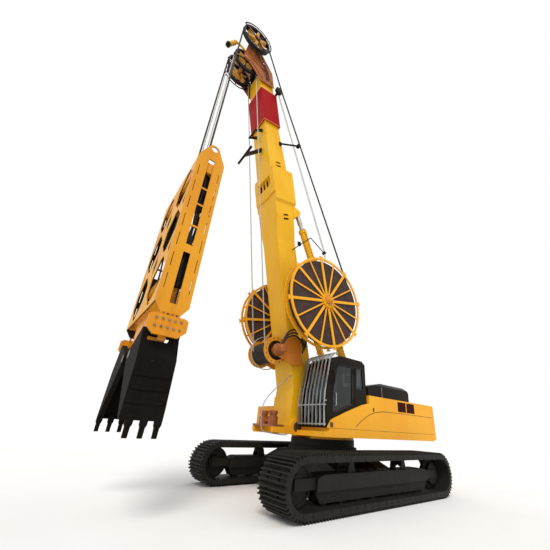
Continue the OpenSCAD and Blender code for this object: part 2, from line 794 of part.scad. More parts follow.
// The lower mast: a box in front view with a flare to its collar, cut by its side view
module mast_shape(inset) {
  low = inset > 0 ? 700 : -foot_radius;
  top = lower_mast_length + (inset > 0 ? 1 : 0);
  half = mast_width / 2 - inset;
  wide = (mast_width + 220) / 2 - inset;
  full = collar_width / 2 - inset;
  front = mast_front - inset;
  rear = -mast_front + inset;
  intersection() {
    x_slab(-mast_depth, mast_depth) polygon([[-half, low], [half, low], [half, flare_start],
      [wide, flare_end], [wide, collar_start], [full, collar_start + 60], [full, top], [-full, top],
      [-full, collar_start + 60], [-wide, collar_start], [-wide, flare_end], [-half, flare_start]]);
    y_slab(-collar_width, collar_width) union() {
      polygon([[front, 0], [front, top], [rear - collar_bulge, top],
        [rear - collar_bulge, collar_start + 80], [rear, collar_start - 500], [rear, 420], [0, 20]]);
      if (inset == 0) polygon([[front, 900], [foot_forward + foot_radius, 60], [foot_forward, -foot_radius],
        [0, 20]]);
      if (inset == 0) translate([foot_forward, 0]) circle(r = foot_radius, $fn = round_fn);
    }
  }
}

module lower_mast() {
  color(paint_yellow) on_mast() difference() {
    union() {
      difference() {
        mast_shape(0);
        mast_shape(mast_plate);
      }
      // Lugs for the luffing cylinder rods
      for (y = [-luff_offset, luff_offset], side = [-1, 1]) {
        y0 = y + (side > 0 ? 55 : -85);
        y_slab(y0, y0 + 30) polygon([[-mast_front + 5, luff_eye_z - 260], [luff_eye_x - 40, luff_eye_z - 90],
          [luff_eye_x - 90, luff_eye_z], [luff_eye_x - 40, luff_eye_z + 90],
          [-mast_front + 5, luff_eye_z + 190]]);
      }
      for (y = [-luff_offset, luff_offset]) translate([luff_eye_x, 0, luff_eye_z]) y_bar(luff_pin_radius,
          y - 85, y + 85);
    }
    translate([foot_forward, 0, 0]) y_bar(foot_pin_radius + pin_fit, -mast_width, mast_width);
    y_slab(-mast_width, mast_width) side_slots(flare_end - 110);
    block([mast_front - mast_plate - 1, -330, collar_start + 620],
      [mast_front + 1, 330, collar_start + 980]);
  }
}

// A pair of slanted slots through the side plates
module side_slots(z) {
  for (d = [0, 130]) polygon([[-130, z + d], [60, z + d - 40], [90, z + d + 20], [-100, z + d + 60]]);
}

// A band round the front of the collar, with a pointed lower edge
module collar_band() {
  half = collar_width / 2;
  low = collar_start + 260;
  high = lower_mast_length - 60;
  color(paint_yellow) on_mast() {
    x_slab(mast_front, mast_front + 25) difference() {
      polygon([[-half, low + 40], [0, low], [half, low + 40], [half, high], [-half, high]]);
      translate([-330, collar_start + 620]) square([660, 360]);
    }
    // Rollers in the window
    for (y = [-180, 0, 180]) translate([mast_front - 60, y, collar_start + 637]) cylinder(r = 32, h = 326,
        $fn = 32);
    for (z = [collar_start + 620 + pin_fit, collar_start + 962 - pin_fit]) block([mast_front - 95, -300, z],
      [mast_front - 25, 300, z + 18]);
  }
}

// The upper mast: a tapered box on the lower mast's flange
module upper_shape(inset) {
  a = upper_bottom_width / 2 - inset;
  b = upper_top_width / 2 - inset;
  front = mast_front - inset;
  rear_low = mast_front - upper_bottom_depth + inset;
  rear_top = mast_front - upper_top_depth + inset;
  low = lower_mast_length - (inset > 0 ? 1 : 0);
  top = mast_top + (inset > 0 ? 1 : 0);
  intersection() {
    x_slab(-mast_depth, mast_depth) polygon([[-a, low], [a, low], [b, top], [-b, top]]);
    y_slab(-mast_width, mast_width) polygon([[rear_low, low], [front, low], [front, top], [rear_top, top],
      [rear_top, lower_mast_length + upper_knee]]);
  }
}

module upper_mast() {
  color(paint_yellow) on_mast() difference() {
    union() {
      upper_shape(0);
      block([-mast_front - collar_bulge, -collar_width / 2, lower_mast_length],
        [mast_front, collar_width / 2, lower_mast_length + 40]);
    }
    upper_shape(mast_plate);
    y_slab(-mast_width, mast_width) side_slots(lower_mast_length + 230);
  }
}

module sign_sleeve() {
  half_w = 430;
  rear = mast_front - upper_top_depth - 60;
  front = mast_front + 50;
  skin = 12;
  color(paint_red) on_mast() difference() {
    translate([0, 0, sign_bottom]) block([rear, -half_w, 0], [front, half_w, sign_length]);
    translate([0, 0, sign_bottom - 1]) block([rear + skin, -half_w + skin, 0],
      [front - skin, half_w - skin, sign_length - skin]);
    upper_shape(0);
  }
}

// The head: two cheek plates on the mast top, with the axles of the sheaves
module mast_head() {
  base = upper_top_width / 2 + pin_fit;
  taper = (upper_bottom_width - upper_top_width) / 2 / upper_mast_length;
  rear = mast_front - upper_top_depth;
  outer = hose_offset + 120;
  color(paint_orange) on_mast() {
    for (side = [-1, 1]) {
      y0 = side > 0 ? head_half : -head_half - head_plate;
      y_slab(y0, y0 + head_plate) difference() {
        polygon([[rear, mast_top - 450], [mast_front, mast_top - 450], [rope_axle_x - 60, rope_axle_z - 130],
          [rope_axle_x + 120, rope_axle_z - 60], [rope_axle_x + 120, rope_axle_z + 110],
          [hose_axle_mast[0] + 150, hose_axle_mast[1] + 60], [hose_axle_mast[0], hose_axle_mast[1] + 150],
          [hose_axle_mast[0] - 150, hose_axle_mast[1] + 60], [rear, mast_top + 250]]);
        translate([120, mast_top + 420]) circle(r = 130, $fn = round_fn);
      }
      x_slab(rear + 40, mast_front - 40) polygon([[side * (base + 20 * taper), mast_top - 20],
          [side * head_half, mast_top - 20],
        [side * head_half, mast_top - 380], [side * (base + 380 * taper), mast_top - 380]]);
    }
    translate([rope_axle_x, 0, rope_axle_z]) y_bar(axle_bore, -head_half, head_half);
    translate([hose_axle_mast[0], 0, hose_axle_mast[1]]) y_bar(axle_bore, -outer, outer);
    block([rear + 40, -head_half, mast_top], [mast_front - 60, head_half, mast_top + 40]);
  }
}

// A sheave with its groove, about Y, with openings between its spokes
module sheave(r, width) {
  flange = 34;
  openings = 6;
  color(steel_grey) difference() {
    rotate([90, 0, 0]) rotate_extrude($fn = round_fn) polygon([[axle_bore + pin_fit, -width / 2],
      [r + flange, -width / 2], [r + flange, -width / 2 + 10], [r, -24], [r, 24],
      [r + flange, width / 2 - 10], [r + flange, width / 2], [axle_bore + pin_fit, width / 2]]);
    for (i = [0 : openings - 1]) rotate([0, i * 360 / openings, 0]) y_slab(-width, width)
      polygon([[150, -32], [r - 50, -0.42 * r], [r - 30, 0], [r - 50, 0.42 * r], [150, 32]]);
  }
}

// Curved keepers beside a sheave, on arms from its axle
module sheave_guard(r, a0, a1) {
  thick = 18;
  color(paint_black) y_slab(0, thick) difference() {
    union() {
      circle(r = axle_bore + 45, $fn = round_fn);
      for (a = [a0, (a0 + a1) / 2, a1]) rotate(a) translate([0, -16]) square([r + 80, 32]);
      intersection() {
        difference() {
          circle(r = r + 90, $fn = round_fn);
          circle(r = r + 55, $fn = round_fn);
        }
        polygon([[0, 0], for (i = [0 : 4]) let (a = a0 + i / 4 * (a1 - a0)) 2 * r * [cos(a), sin(a)]]);
      }
    }
    circle(r = axle_bore + pin_fit, $fn = round_fn);
  }
}

module sheave_guards() {
  for (side = [-1, 1]) {
    translate([rope_axle[0], side > 0 ? rope_offset + 65 : -rope_offset - 83,
        rope_axle[1]]) sheave_guard(sheave_radius + 30, 205, 335);
    translate([hose_axle[0], side > 0 ? hose_offset + 75 : -hose_offset - 93,
        hose_axle[1]]) sheave_guard(hose_sheave_radius, 20, 230);
  }
}

module rope_sheaves() {
  for (y = [-rope_offset, rope_offset]) translate([rope_axle[0], y, rope_axle[1]]) sheave(sheave_radius,
      110);
}

module hose_sheaves() {
  for (y = [-hose_offset, hose_offset]) translate([hose_axle[0], y,
      hose_axle[1]]) sheave(hose_sheave_radius, 130);
}

// Arms on the mast that keep ropes and hoses in line
module rope_guides() {
  tip_x = 967;
  tip_z = lower_mast_length + 480;
  arm_z = lower_mast_length + 950;
  roller = guide_pulley_radius;
  hose = hose_at(lower_mast_length + 1100);
  arm_foot = lower_mast_length + 1220;
  pad_y = upper_top_width / 2 + pin_fit
    + (upper_bottom_width - upper_top_width) / 2 * (mast_top - arm_foot + 60) / upper_mast_length;
  color(paint_black) on_mast() {
    y_slab(-50, 50) polygon([[mast_front, arm_z], [mast_front, arm_z + 120], [tip_x, tip_z + 60],
      [tip_x, tip_z - 40]]);
    translate([tip_x, 0, tip_z]) y_bar(35, -420, 420);
    // A fork that keeps the ropes off the mast
    for (y = [-200, 170]) y_slab(y, y + 30) polygon([[mast_front, sign_bottom - 330],
      [mast_front + 330, sign_bottom - 470], [mast_front + 330, sign_bottom - 420],
      [mast_front, sign_bottom - 200]]);
    block([mast_front + 290, -200, sign_bottom - 470], [mast_front + 330, 200, sign_bottom - 440]);
    // Hose rollers on an axle behind the upper mast
    translate([guide_pulley_x, 0, guide_pulley_z]) y_bar(40, -hose_offset - 50, hose_offset + 50);
    block([guide_pulley_x - 30, -130, guide_pulley_z - 60],
      [mast_front - upper_top_depth - pin_fit, 130, guide_pulley_z + 60]);
    for (side = [-1, 1]) {
      translate([guide_pulley_x, side * hose_offset, guide_pulley_z]) y_bar(roller, -45, 45);
      // Arms out to the hoses lower down, each on a pad and with a small roller
      block([-240, side > 0 ? pad_y : -pad_y - 50, arm_foot - 60],
        [-160, side > 0 ? pad_y + 50 : -pad_y, arm_foot + 60]);
      line_between([-200, side * (pad_y + 32), arm_foot],
        [hose[0] + 95, side * hose[1], lower_mast_length + 1100], 28);
      translate([hose[0] + 95, side * hose[1], lower_mast_length + 1100]) y_bar(62, -60, 60);
    }
  }
}

// Place of a hose on its way from reel to guide roller, at a height along the mast
function hose_at(z) =
  let (p = hose_start(), q = hose_pulley(), a = machine_to_mast(p[0], p[1]), b = machine_to_mast(q[0],
      q[1]), t = (z - a[1]) / (b[1] - a[1]))
  [a[0] + t * (b[0] - a[0]), reel_offset + t * (hose_offset - reel_offset)];

// A cross beam behind the mast that carries both hose reels
module reel_beam() {
  reach = reel_offset + reel_width / 2 + 60;
  color(paint_orange) on_mast() {
    translate([reel_x, 0, reel_z]) {
      y_bar(reel_shaft_radius, -reel_offset + reel_width / 2 + 60, reel_offset - reel_width / 2 - 60);
      y_bar(60, -reach, -reel_offset + reel_width / 2 + 60);
      y_bar(60, reel_offset - reel_width / 2 - 60, reach);
    }
    for (side = [-1, 1]) {
      y0 = side > 0 ? mast_width / 2 - 90 : -mast_width / 2 + 50;
      y_slab(y0, y0 + 40) polygon([[-mast_front, reel_z - 320], [-mast_front, reel_z + 320],
          [reel_x - 110, reel_z + 110],
        [reel_x - 110, reel_z - 110]]);
    }
  }
}

// A hose reel: a hub, two rims and spokes on both faces
module hose_reel() {
  half = reel_width / 2;
  rim = 30;
  bar = 38;
  broad = 70;
  color(paint_yellow) {
    rotate([90, 0, 0]) rotate_extrude($fn = round_fn) polygon([[60 + pin_fit, -half - 50], [190, -half - 50],
      [190, half + 50], [60 + pin_fit, half + 50]]);
    for (y = [-half, half]) translate([0, y, 0]) {
      rotate([90, 0, 0]) rotate_extrude($fn = round_fn) translate([reel_radius - rim, 0])
        square([2 * rim, rim], center = true);
      for (i = [0 : reel_spokes - 1]) rotate([0, i * 360 / reel_spokes, 0])
        if (i % 2 == 0) block([170, -rim / 2 + 4, -broad / 2], [reel_radius + 60, rim / 2 - 4, broad / 2]);
        else block([170, -rim / 2 + 4, -bar / 2], [reel_radius - 1.4 * rim, rim / 2 - 4, bar / 2]);
      for (i = [0 : 2 : reel_spokes - 1]) rotate([0, i * 360 / reel_spokes, 0])
        block([reel_radius + 30, -rim / 2 + 2, -62], [reel_radius + 59, rim / 2 - 2, 62]);
    }
  }
}

module at_reel(side) {
  on_mast() translate([reel_x, side * reel_offset, reel_z]) children();
}

module reel_left() { at_reel(1) hose_reel(); }
module reel_right() { at_reel(-1) hose_reel(); }

// The hose wound on a reel
module hose_pack() {
  half = reel_width / 2 - 20;
  color(hose_brown) rotate([90, 0, 0]) rotate_extrude($fn = round_fn)
    polygon([[190.2, -half], [reel_radius - 90, -half], [reel_radius - 90, half], [190.2, half]]);
}

module reel_hose_left() { at_reel(1) hose_pack(); }
module reel_hose_right() { at_reel(-1) hose_pack(); }

// The winch in front of the mast
module winch_drum() {
  core = winch_radius - 110;
  color(paint_orange) on_mast() translate([winch_x, 0, winch_z]) rotate([90, 0, 0])
    rotate_extrude($fn = round_fn)
    polygon([[60 + pin_fit, -winch_half], [120, -winch_half], [120, -winch_half + 110],
      [core - 25, -winch_half + 110], [core - 25, -winch_half], [winch_radius, -winch_half],
      [winch_radius, -winch_half + 40], [core, -winch_half + 40], [core, winch_half - 40],
      [winch_radius, winch_half - 40], [winch_radius, winch_half], [core - 25, winch_half],
      [core - 25, winch_half - 110], [120, winch_half - 110], [120, winch_half],
      [60 + pin_fit, winch_half]]);
}

module winch_frame() {
  color(paint_orange) on_mast() {
    translate([winch_x, 0, winch_z]) y_bar(60, -winch_half - 90, winch_half + 90);
    for (side = [-1, 1]) {
      y0 = side > 0 ? winch_half + 20 : -winch_half - 60;
      y_slab(y0, y0 + 40) polygon([[mast_front - 300, winch_z - 420], [mast_front, winch_z - 420],
          [winch_x + 100, winch_z - 90],
        [winch_x + 100, winch_z + 90], [mast_front, winch_z + 300], [mast_front - 300, winch_z + 300]]);
      y_slab(side > 0 ? mast_width / 2 : -winch_half - 20, side > 0 ? winch_half + 20 : -mast_width / 2)
        polygon([[mast_front - 280, winch_z - 400], [mast_front - 60, winch_z - 400],
          [mast_front - 60, winch_z + 280], [mast_front - 280, winch_z + 280]]);
    }
  }
}

// A straight line of rope or hose between two points
module line_between(a, b, r) {
  d = b - a;
  translate(a) rotate([0, acos(d[2] / norm(d)), atan2(d[1], d[0])]) cylinder(r = r, h = norm(d), $fn = 16);
}

// Where a line from a point meets a circle about a centre, on its rear side, as an angle on the circle
function meet_angle(point, centre, r) =
  let (v = centre - point) atan2(v[1], v[0]) + asin(r / norm(v)) + 90;
function on_circle(centre, r, a) = centre + r * [cos(a), sin(a)];

// Rope or hose over the top of a sheave, from its front round to an angle
module over_sheave(axle, y, r, line, a) {
  translate([axle[0], y, axle[1]]) rotate([90, 0, 0]) rotate_extrude(angle = a, $fn = round_fn)
    translate([r, 0]) circle(r = line, $fn = 16);
}

// Ropes from the winch up in front of the mast and over the rope sheaves
module winch_ropes() {
  drum = mast_to_machine(winch_x + winch_radius - 110 + rope_radius + 3, winch_z);
  r = sheave_radius + rope_radius + 1;
  a = meet_angle(drum, rope_axle, r);
  end = on_circle(rope_axle, r, a) - pin_fit * [cos(a - 90), sin(a - 90)];
  color(rope_grey) for (y = [-rope_offset, rope_offset]) {
    line_between([drum[0], y, drum[1]], [end[0], y, end[1]], rope_radius);
    over_sheave(rope_axle, y, r, rope_radius, a);
  }
}

// Where a hose leaves its reel, and where it passes its guide roller
hose_pack = reel_radius - 90 + hose_radius + 3;
function hose_pulley() = mast_to_machine(guide_pulley_x - guide_pulley_radius - hose_radius - 12,
    guide_pulley_z);
function hose_start() =
  let (reel = mast_to_machine(reel_x, reel_z), pulley = hose_pulley(),
       leave = meet_angle(pulley, reel, hose_pack) - 2 * asin(hose_pack / norm(pulley - reel)))
  on_circle(reel, hose_pack, leave + 180);

// Hoses from the reels up behind the mast, past the guide rollers and over the hose sheaves
module reel_hoses() {
  start = hose_start();
  pulley = hose_pulley();
  r = hose_sheave_radius + hose_radius + 1;
  a = meet_angle(pulley, hose_axle, r);
  end = on_circle(hose_axle, r, a) - pin_fit * [cos(a - 90), sin(a - 90)];
  color(hose_brown) for (side = [-1, 1]) {
    y = side * hose_offset;
    line_between([start[0], side * reel_offset, start[1]], [pulley[0], y, pulley[1]], hose_radius);
    translate([pulley[0], y, pulley[1]]) sphere(r = hose_radius + 9, $fn = 32);
    line_between([pulley[0], y, pulley[1]], [end[0], y, end[1]], hose_radius);
    over_sheave(hose_axle, y, r, hose_radius, a);
    translate([grab_x, y, rope_axle[1] + pin_fit])
      cylinder(r = hose_radius, h = hose_axle[1] - rope_axle[1] - 2 * pin_fit, $fn = 16);
  }
}

// Luffing cylinders, from the girders up to the back of the mast
luff_eye = mast_to_machine(luff_eye_x, luff_eye_z);
luff_dx = luff_eye[0] - luff_foot_x;
luff_dz = luff_eye[1] - luff_foot_z;
luff_length = norm([luff_dx, luff_dz]);
luff_tilt = atan2(luff_dx, luff_dz);
barrel_length = luff_length - luff_stroke;

module on_luff(y) {
  translate([luff_foot_x, y, luff_foot_z]) rotate([0, luff_tilt, 0]) children();
}

module luff_barrels() {
  color(paint_yellow) for (y = [-luff_offset, luff_offset]) on_luff(y) difference() {
    union() {
      translate([0, 0, 130]) cylinder(r = luff_barrel_radius, h = barrel_length - 130, $fn = round_fn);
      translate([0, 0, barrel_length - 90]) cylinder(r = luff_barrel_radius + 18, h = 90, $fn = round_fn);
      y_bar(100, -55, 55);
      block([-70, -55, 0], [70, 55, 140]);
    }
    y_bar(luff_pin_radius + pin_fit, -90, 90);
    translate([0, 0, 260]) cylinder(r = luff_rod_radius + pin_fit, h = barrel_length, $fn = round_fn);
  }
}

module luff_rods() {
  color(steel_grey) for (y = [-luff_offset, luff_offset]) on_luff(y) difference() {
    union() {
      translate([0, 0, luff_length - 2500]) cylinder(r = luff_rod_radius, h = 2500 - luff_neck + 20,
          $fn = round_fn);
      translate([0, 0, luff_length]) y_bar(95, -50, 50);
      block([-60, -50, luff_length - luff_neck], [60, 50, luff_length]);
    }
    translate([0, 0, luff_length]) y_bar(luff_pin_radius + luff_eye_play, -90, 90);
  }
}

// Ropes and hoses from the head sheaves down to the grab
module hoist_ropes() {
  top = rope_axle[1];
  low = guide_top - 420;
  color(rope_grey) {
    for (y = [-rope_offset, rope_offset]) translate([grab_x, y, low]) cylinder(r = rope_radius,
        h = top - low, $fn = 16);
    for (y = [-hose_offset, hose_offset]) translate([grab_x, y, low]) cylinder(r = hose_radius,
        h = top - low, $fn = 16);
  }
}

module at_grab() {
  translate([grab_x, 0, 0]) children();
}

// End plates of the guide frame: a slot with cross bars, slits along the edges and an eye on top
slot_bars = [0, 0.30, 0.35, 0.47, 0.481, 0.625, 0.636, 0.75, 0.761, 1];
slot_low = guide_bottom + 180;
slot_high = guide_top - 330;

module guide_ends() {
  half = grab_half_t - 10;
  slits = 7;
  color(paint_orange) at_grab() for (side = [-1, 1]) {
    y0 = side > 0 ? grab_half - guide_plate : -grab_half;
    y_slab(y0, y0 + guide_plate) difference() {
      union() {
        polygon([[-half + 110, guide_bottom], [half - 110, guide_bottom], [half, guide_bottom + 160],
          [half, guide_top - 330], [half - 150, guide_top], [-half + 150, guide_top],
          [-half, guide_top - 330], [-half, guide_bottom + 160]]);
        translate([0, guide_top]) circle(r = 130, $fn = round_fn);
      }
      translate([0, guide_top + 20]) circle(r = 75, $fn = round_fn);
      for (i = [0 : 2 : 8]) translate([-65, slot_low + slot_bars[i] * (slot_high - slot_low)])
        square([130, (slot_bars[i + 1] - slot_bars[i]) * (slot_high - slot_low)]);
      for (x = [-half + 62, half - 76], i = [0 : slits - 1])
        translate([x, guide_bottom + 420 + i * (guide_top - guide_bottom - 900) / slits]) square([14, 300]);
    }
  }
}

// Wide faces of the guide frame: a middle beam that branches out to the end plates between tall openings
module guide_faces() {
  inner = grab_half - guide_plate;
  low = guide_bottom + 170;
  high = guide_top - 340;
  bay = (high - low) / 3;
  half = grab_half_t - 10;
  beam = 170;
  edge = inner - 120;
  mid = (beam + edge) / 2;
  color(paint_yellow) at_grab() for (side = [-1, 1]) {
    x0 = side > 0 ? half - guide_plate : -half;
    x_slab(x0, x0 + guide_plate) difference() {
      translate([-inner, low]) square([2 * inner, high - low]);
      for (i = [0 : 2], hand = [-1, 1]) translate([0, low + i * bay]) polygon([[hand * beam, 420],
        [hand * (mid - 90), 70], [hand * (mid + 90), 70], [hand * edge, 420], [hand * edge, bay - 420],
        [hand * (mid + 90), bay - 70], [hand * (mid - 90), bay - 70], [hand * beam, bay - 420]]);
      for (i = [1, 2]) translate([0, low + i * bay]) {
        polygon([[0, -300], [150, 0], [0, 300], [-150, 0]]);
        for (hand = [-1, 1]) polygon([[hand * edge, -230], [hand * edge, 230], [hand * (edge - 150), 0]]);
      }
    }
  }
}

// Guide shoes under the end plates, each bolted to a row of sockets
module guide_shoes() {
  half = grab_half_t + 20;
  top = guide_bottom - 60;
  color(paint_orange) at_grab() for (side = [-1, 1]) {
    y0 = side > 0 ? grab_half : -grab_half - 50;
    y_slab(y0, y0 + 50) polygon([[-half + 120, top - 360], [half - 120, top - 360], [half, top - 240],
      [half, top - 40], [half - 60, top], [-half + 60, top], [-half, top - 40], [-half, top - 240]]);
    y1 = side > 0 ? grab_half - guide_plate : -grab_half;
    y_slab(y1, y1 + guide_plate) difference() {
      translate([-170, top - 160]) square([340, guide_bottom - top + 160]);
      for (x = [-140, -65, 10, 85]) translate([x, top + 8]) square([48, 44]);
    }
  }
}

module grab_top_beam() {
  inner = grab_half - guide_plate;
  half = grab_half_t - 10 - guide_plate;
  color(paint_yellow) at_grab() difference() {
    block([-half, -inner, guide_top - 700], [half, inner, guide_top - 420]);
    for (y = [-800, 0, 800]) translate([0, y, 0]) block([-half + 50, -300, 0],
      [half - 50, 300, guide_top - 460]);
  }
}

// Lower head of the guide frame: carries the jaw pins
module grab_lower_head() {
  inner = grab_half - guide_plate;
  half = grab_half_t - 10 - guide_plate;
  core = 190;
  color(paint_yellow) at_grab() {
    for (side = [-1, 1], hand = [-1, 1]) {
      y0 = side > 0 ? jaw_pin_offset + 820 : -inner;
      x0 = hand > 0 ? 80 : -half;
      block([x0, y0, guide_bottom + 180],
        [x0 + half - 80, y0 + inner - jaw_pin_offset - 820, guide_bottom + 480]);
    }
    block([-half, -560, guide_bottom + 180], [half, 560, guide_bottom + 395]);
    x_slab(-core, core) union() {
      polygon([[-560, guide_bottom + 200], [-jaw_pin_offset - 150, jaw_pin_z],
        [jaw_pin_offset + 150, jaw_pin_z], [560, guide_bottom + 200]]);
      for (y = [-jaw_pin_offset, jaw_pin_offset]) translate([y, jaw_pin_z]) circle(r = 150, $fn = round_fn);
    }
    for (y = [-jaw_pin_offset, jaw_pin_offset]) translate([-grab_half_t + 10, y, jaw_pin_z])
      rotate([0, 90, 0])
      cylinder(r = jaw_pin_radius, h = grab_thickness - 20, $fn = round_fn);
  }
}

module jaw_cylinder() {
  color(paint_black) at_grab() difference() {
    translate([0, 0, ram_bottom]) cylinder(r = 150, h = guide_top - 460 - ram_bottom, $fn = round_fn);
    translate([0, 0, ram_bottom - 1]) cylinder(r = ram_radius + pin_fit, h = ram_length, $fn = round_fn);
  }
}

// Jaw linkage: the pin in each jaw's ear moves on an arc, centred on the level of the jaw pin
ear_angle = jaw_close / 2;
ear_y = jaw_pin_offset + ear_radius * cos(ear_angle);
ear_z = jaw_pin_z + ear_radius * sin(ear_angle);
rod_y = jaw_pin_offset + ear_radius * (1 + cos(ear_angle)) / 2;
ear_pin_radius = 45;
crosshead_z = jaw_pin_z + 1800;
ram_radius = 75;
ram_length = 1300;
ram_bottom = crosshead_z + 650;

module crosshead() {
  slot = ear_radius * (1 - cos(ear_angle)) / 2 + 10;
  color(steel_grey) at_grab() {
    translate([0, 0, crosshead_z]) cylinder(r = ram_radius, h = ram_length, $fn = round_fn);
    block([-110, -rod_y - 90, crosshead_z - 200], [110, rod_y + 90, crosshead_z]);
    for (side = [-1, 1]) translate([0, side * rod_y, 0]) {
      translate([0, 0, ear_z + 120]) cylinder(r = 60, h = crosshead_z - 200 - ear_z - 120, $fn = round_fn);
      x_slab(-60, 60) difference() {
        translate([-140, ear_z - 110]) square([280, 260]);
        hull() for (d = [-slot, slot]) translate([d, ear_z]) circle(r = ear_pin_radius + 8, $fn = 32);
      }
    }
  }
}

// A jaw, drawn for the left side with the mouth towards the middle
function lip_open() = [lip_gap, jaw_pin_z] + [0, -sqrt(pow(1380, 2) - pow(jaw_pin_offset - lip_gap, 2))];
function about_pin(p, a) = [jaw_pin_offset, jaw_pin_z] + rot2(p - [jaw_pin_offset, jaw_pin_z], a);

module jaw_outline() {
  lip = about_pin(lip_open(), jaw_close);
  outer = grab_half;
  union() {
    polygon([[jaw_pin_offset - 60, jaw_pin_z - 130], lip, [outer - 10, lip[1]], [outer, lip[1] + 150],
        [outer - 40, jaw_pin_z - 150],
      [ear_y + 100, ear_z - 40], [ear_y, ear_z + 100], [jaw_pin_offset, jaw_pin_z + 130]]);
    translate([jaw_pin_offset, jaw_pin_z]) circle(r = 130, $fn = round_fn);
    translate([ear_y, ear_z]) circle(r = 100, $fn = round_fn);
  }
}

module jaw_hollow() {
  lip = about_pin(lip_open(), jaw_close);
  outer = grab_half;
  polygon([[-200, jaw_pin_z - 100], [lip[0] - 400, lip[1] - 200], lip + [-1, 40], [outer - 60, lip[1] + 60],
    [outer - 50, lip[1] + 160], [outer - 40 - jaw_plate - 10, jaw_pin_z - 160],
    [ear_y + 140, jaw_pin_z + 60], [ear_y + 140, ear_z + 300], [-200, ear_z + 300]]);
}

module tooth() {
  lip = about_pin(lip_open(), jaw_close);
  polygon([[grab_half - 105, lip[1] + 60], [grab_half - 85, lip[1] - tooth_length],
    [grab_half - 55, lip[1] - tooth_length], [grab_half - 5, lip[1] + 60]]);
}

module jaw(teeth) {
  half = grab_half_t;
  bore = jaw_pin_radius + pin_fit;
  color(paint_black) difference() {
    union() {
      difference() {
        x_slab(-half, half) jaw_outline();
        x_slab(-half + 90, half - 90) jaw_hollow();
      }
      for (x = teeth) x_slab(x - 35, x + 35) tooth();
      x_slab(-half + 90, half - 90) translate([ear_y, ear_z]) circle(r = ear_pin_radius, $fn = round_fn);
    }
    translate([-half - 1, jaw_pin_offset, jaw_pin_z]) rotate([0, 90, 0]) cylinder(r = bore,
        h = grab_thickness + 2, $fn = round_fn);
    x_slab(-half + 90, half - 90) translate([jaw_pin_offset, jaw_pin_z]) circle(r = 200, $fn = round_fn);
  }
}

module jaw_left() { at_grab() jaw([-250, -50, 150]); }
module jaw_right() { at_grab() mirror([0, 1, 0]) jaw([-150, 50, 250]); }

// Every node, set on the part's origin
module placed() {
  translate([-origin_x, 0, 0]) children();
}

placed() car_body();
placed() track_frame_left();
placed() track_frame_right();
placed() track_left();
placed() track_right();
placed() drive_sprockets();
placed() track_idlers();
placed() track_rollers();
placed() slew_ring();
placed() deck_frame();
placed() house_left();
placed() house_right();
placed() counterweight();
placed() engine();
placed() engine_hood();
placed() house_grille();
placed() cab_fairing();
placed() hose_manifold();
placed() cab_shell();
placed() cab_sides();
placed() cab_glass();
placed() cab_door();
placed() door_glass();
placed() front_guard();
placed() operator_seat();
placed() mast_foot_pin();
placed() lower_mast();
placed() collar_band();
placed() upper_mast();
placed() sign_sleeve();
placed() mast_head();
placed() rope_guides();
placed() reel_beam();
placed() winch_frame();
placed() winch_ropes();
placed() reel_hoses();
placed() winch_drum();
placed() reel_left();
placed() reel_right();
placed() reel_hose_left();
placed() reel_hose_right();
placed() rope_sheaves();
placed() hose_sheaves();
placed() sheave_guards();
placed() luff_barrels();
placed() luff_rods();
placed() hoist_ropes();
placed() guide_ends();
placed() guide_faces();
placed() guide_shoes();
placed() grab_top_beam();
placed() grab_lower_head();
placed() jaw_cylinder();
placed() crosshead();
placed() jaw_left();
placed() jaw_right();
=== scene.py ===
"""Looks of a tracked diaphragm wall grab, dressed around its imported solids. Lengths are in metres."""
import json
import math

import bmesh
import bpy
import numpy as np
from mathutils import Matrix, Vector


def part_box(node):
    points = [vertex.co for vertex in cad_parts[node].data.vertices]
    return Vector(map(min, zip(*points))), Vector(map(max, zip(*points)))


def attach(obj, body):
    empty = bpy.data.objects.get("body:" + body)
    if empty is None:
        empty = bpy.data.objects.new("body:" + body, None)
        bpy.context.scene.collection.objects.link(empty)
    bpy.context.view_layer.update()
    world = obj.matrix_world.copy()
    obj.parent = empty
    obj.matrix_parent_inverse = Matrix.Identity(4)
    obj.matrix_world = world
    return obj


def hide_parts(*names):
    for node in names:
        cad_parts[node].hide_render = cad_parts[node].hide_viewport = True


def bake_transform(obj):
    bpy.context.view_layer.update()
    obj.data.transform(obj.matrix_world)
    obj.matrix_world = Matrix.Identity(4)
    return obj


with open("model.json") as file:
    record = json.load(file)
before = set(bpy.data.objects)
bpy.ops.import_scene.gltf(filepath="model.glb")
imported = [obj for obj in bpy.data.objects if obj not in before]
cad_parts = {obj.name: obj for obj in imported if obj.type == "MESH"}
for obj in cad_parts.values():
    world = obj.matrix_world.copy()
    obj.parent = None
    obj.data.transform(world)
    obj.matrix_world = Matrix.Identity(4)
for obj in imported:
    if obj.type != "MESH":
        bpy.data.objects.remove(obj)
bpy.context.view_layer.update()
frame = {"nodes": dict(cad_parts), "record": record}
nodes = frame["nodes"]

# The part's joints give the axes, and the corners of its solids the faces, that the pieces are set against
joints = {joint["name"]: joint for joint in frame["record"]["behaviour"]["joints"]}
axis_at = {name: np.array(joint["pos_m"], float) for name, joint in joints.items() if "pos_m" in joint}
SLEW_X = axis_at["slew"][0]
MAST_FOOT = axis_at["mast_luff"]
LUFF_FOOT = axis_at["luff_barrel_tilt"]
LUFF_WAY = np.array(joints["luff_rod_slide"]["axis"], float)
WINCH = axis_at["winch_turn"]
REEL = axis_at["left_reel_turn"]
ROPE_AXLE = axis_at["rope_sheave_turn"]
HOSE_AXLE = axis_at["hose_sheave_turn"]
JAW_PIN = axis_at["left_jaw_close"]
GRAB_X = axis_at["grab_swing"][0]
REEL_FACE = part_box("reel_left")[1].y
DRUM_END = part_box("winch_drum")[1].y
BEAM_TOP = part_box("grab_top_beam")[1].z
SHOE_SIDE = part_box("guide_shoes")[1].y
CYLINDER_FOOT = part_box("jaw_cylinder")[0].z
